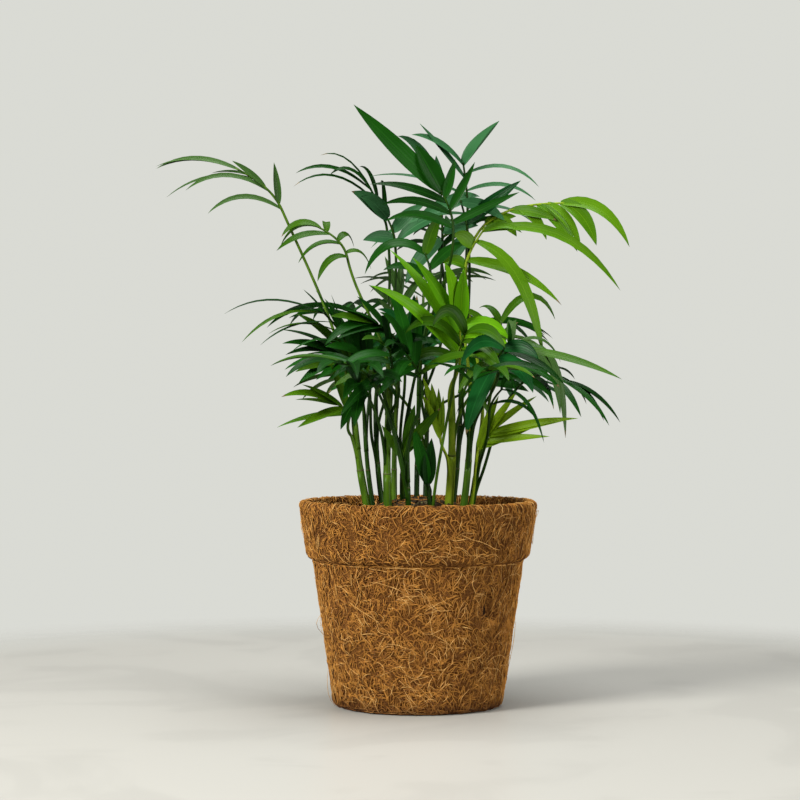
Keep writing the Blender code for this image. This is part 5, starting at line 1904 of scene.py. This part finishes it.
# %% How the leaflets differ
LOOK_OF_FROND = {  # where it isn't the frond's tint
    "centre_bright": "bright_with_painted_light",
    "right_broad": "blue_in_painted_shade",
    "inner_middle": "blue_in_painted_shade",
    "low_left": "bright",
}
LOOK_OF_LEAFLET = {("top_ovals", 1): "blue_in_painted_shade"}  # a frond and the number of one leaflet on it
STRAY_SHARE = 0.15  # how many leaflets of a deep green frond are of a younger green
STRAY_LOOK = "fresh"
ALL_DEEP = ("top_left",)  # the deep green fronds that have none of those
WIDTH_SHARE = {  # some leaflets' widths against those of their solids
    "left_hub": 0.72, "upper_left": 0.8, "right_thin": 0.75, "far_left": 0.92, "centre_bright": 1.18,
    "low_left": 0.82, "low_fan": 0.85,
}
END_WIDTHS = {"top_right": (0.65, 1.45)}  # the same for the two leaflets at a rib's end, left and right
FOLD = (0.10, 0.50)  # how far a leaflet's halves are raised, least and most, against its half width
TWIST = 34  # degrees that a tip may be turned against its base
DRY_SHARE = 0.07  # how many leaflets have a dry tip
DRY_FROM = 0.92  # where a dry tip starts, as a share of the leaflet
NEVER = 2  # a share that no leaflet reaches
TONE_OF_STALK = {"bright": "pale", "lime": "pale", "fresh": "green", "mid": "green"}


def look_of(name, number, strays):
    look = LOOK_OF_LEAFLET.get((name, number), LOOK_OF_FROND.get(name, FRONDS[name].tint))
    if look == "deep" and name not in ALL_DEEP and strays.random() < STRAY_SHARE:
        return STRAY_LOOK
    return look


def width_share(name, number):
    at_end = number >= 2 * FRONDS[name].pairs
    return WIDTH_SHARE.get(name, 1) * (END_WIDTHS.get(name, (1, 1))[number % 2] if at_end else 1)


def tone_of_stalk(name):
    return TONE_OF_STALK.get(FRONDS[name].tint, "dark")


def finishes_of_blade(dry_from):
    """Each face's material number, with a dry tip from a share of the blade's length."""
    return [
        DRY if min(BLADE.corners[corner][1] for corner in face) > dry_from else finish
        for face, finish in zip(BLADE.faces, BLADE.finishes)
    ]


print("a dry tip has", finishes_of_blade(DRY_FROM).count(DRY), "faces")

# %% [markdown]
# Now everything grows. For each frond the solid's corners give the way that its stalk took and the change
# of each leaflet. Every leaflet is bent into place, with its own fold, twist and tone. The leaflets are
# sorted by their look, and the stalks by their tone.

# %% Growing the fronds


class Grown(NamedTuple):
    """A leaflet in its place: its frond, its corners, its faces' material numbers and its tone."""

    frond: str
    corners: np.ndarray
    finishes: list
    tone: float


def grow_leaflets(name, line, corners):
    """The leaflets that a frond's solid has, each with its look."""
    chance = random.Random(name + " looks")
    strays = random.Random(name + " strays")
    for number, (changed, face, width) in enumerate(leaflet_lines(name, FRONDS[name], line)):
        middle = find_leaflet(changed, corners)
        fold, twist = chance.uniform(*FOLD), math.radians(chance.uniform(-TWIST, TWIST))
        dry_from = DRY_FROM if chance.random() < DRY_SHARE else NEVER
        if middle is not None:
            look = look_of(name, number, strays)
            blade = bend_blade(middle, face, width * width_share(name, number), fold, twist)
            yield look, Grown(name, blade, finishes_of_blade(dry_from), chance.uniform(0, 1))


leaflets = {look: [] for look in LOOKS}
stalks = {tone: [] for tone in CANE_TONES}
for name, frond in FRONDS.items():
    corners = corners_of(name)
    found = find_rib(frond, corners)
    if found is None:
        print("no stalk found for", name)
        continue
    fine, radii = rib_line(frond, *found, FINER)
    fine, radii = with_sleeve(frond, fine, [radius * SLIMMER for radius in radii])
    stalks[tone_of_stalk(name)].append(bend_stalk(fine, radii))
    coarse, _ = rib_line(frond, *found)
    for look, leaflet in grow_leaflets(name, coarse, corners):
        leaflets[look].append(leaflet)
print("leaflets grown:", sum(map(len, leaflets.values())))

# %% [markdown]
# The leaflets of one look are joined to one piece, and so are the stalks of one tone. The rims of the blades
# are kept sharp, because a rim that is shaded smooth shows as a light line on so thin a leaf. Each leaflet's
# tone is written on its corners, where its finish reads it.

# %% Joining the fronds
RIM_ANGLE = 100  # degrees between two faces, from which the edge between them is kept sharp
dry = dry_material()
for look, grown in leaflets.items():
    bearers, copies, finishes, tones = zip(*grown)
    finishes = [finish for blade in finishes for finish in blade]
    piece = join_copies("leaves_" + look, BLADE, copies, finishes_of_look(look, dry), finishes)
    piece.data.set_sharp_from_angle(angle=math.radians(RIM_ANGLE))
    tone_of_corner = np.repeat(np.array(tones, dtype=np.float32), len(BLADE.corners))
    piece.data.attributes.new(TONE, "FLOAT", "POINT").data.foreach_set("value", tone_of_corner)
    hand_over(piece, list(dict.fromkeys(bearers)))
for tone, copies in stalks.items():
    piece = join_copies("stalks_" + tone, STALK, copies, [CANE_FINISHES[tone]])
    hand_over(piece, [name for name in FRONDS if tone_of_stalk(name) == tone])
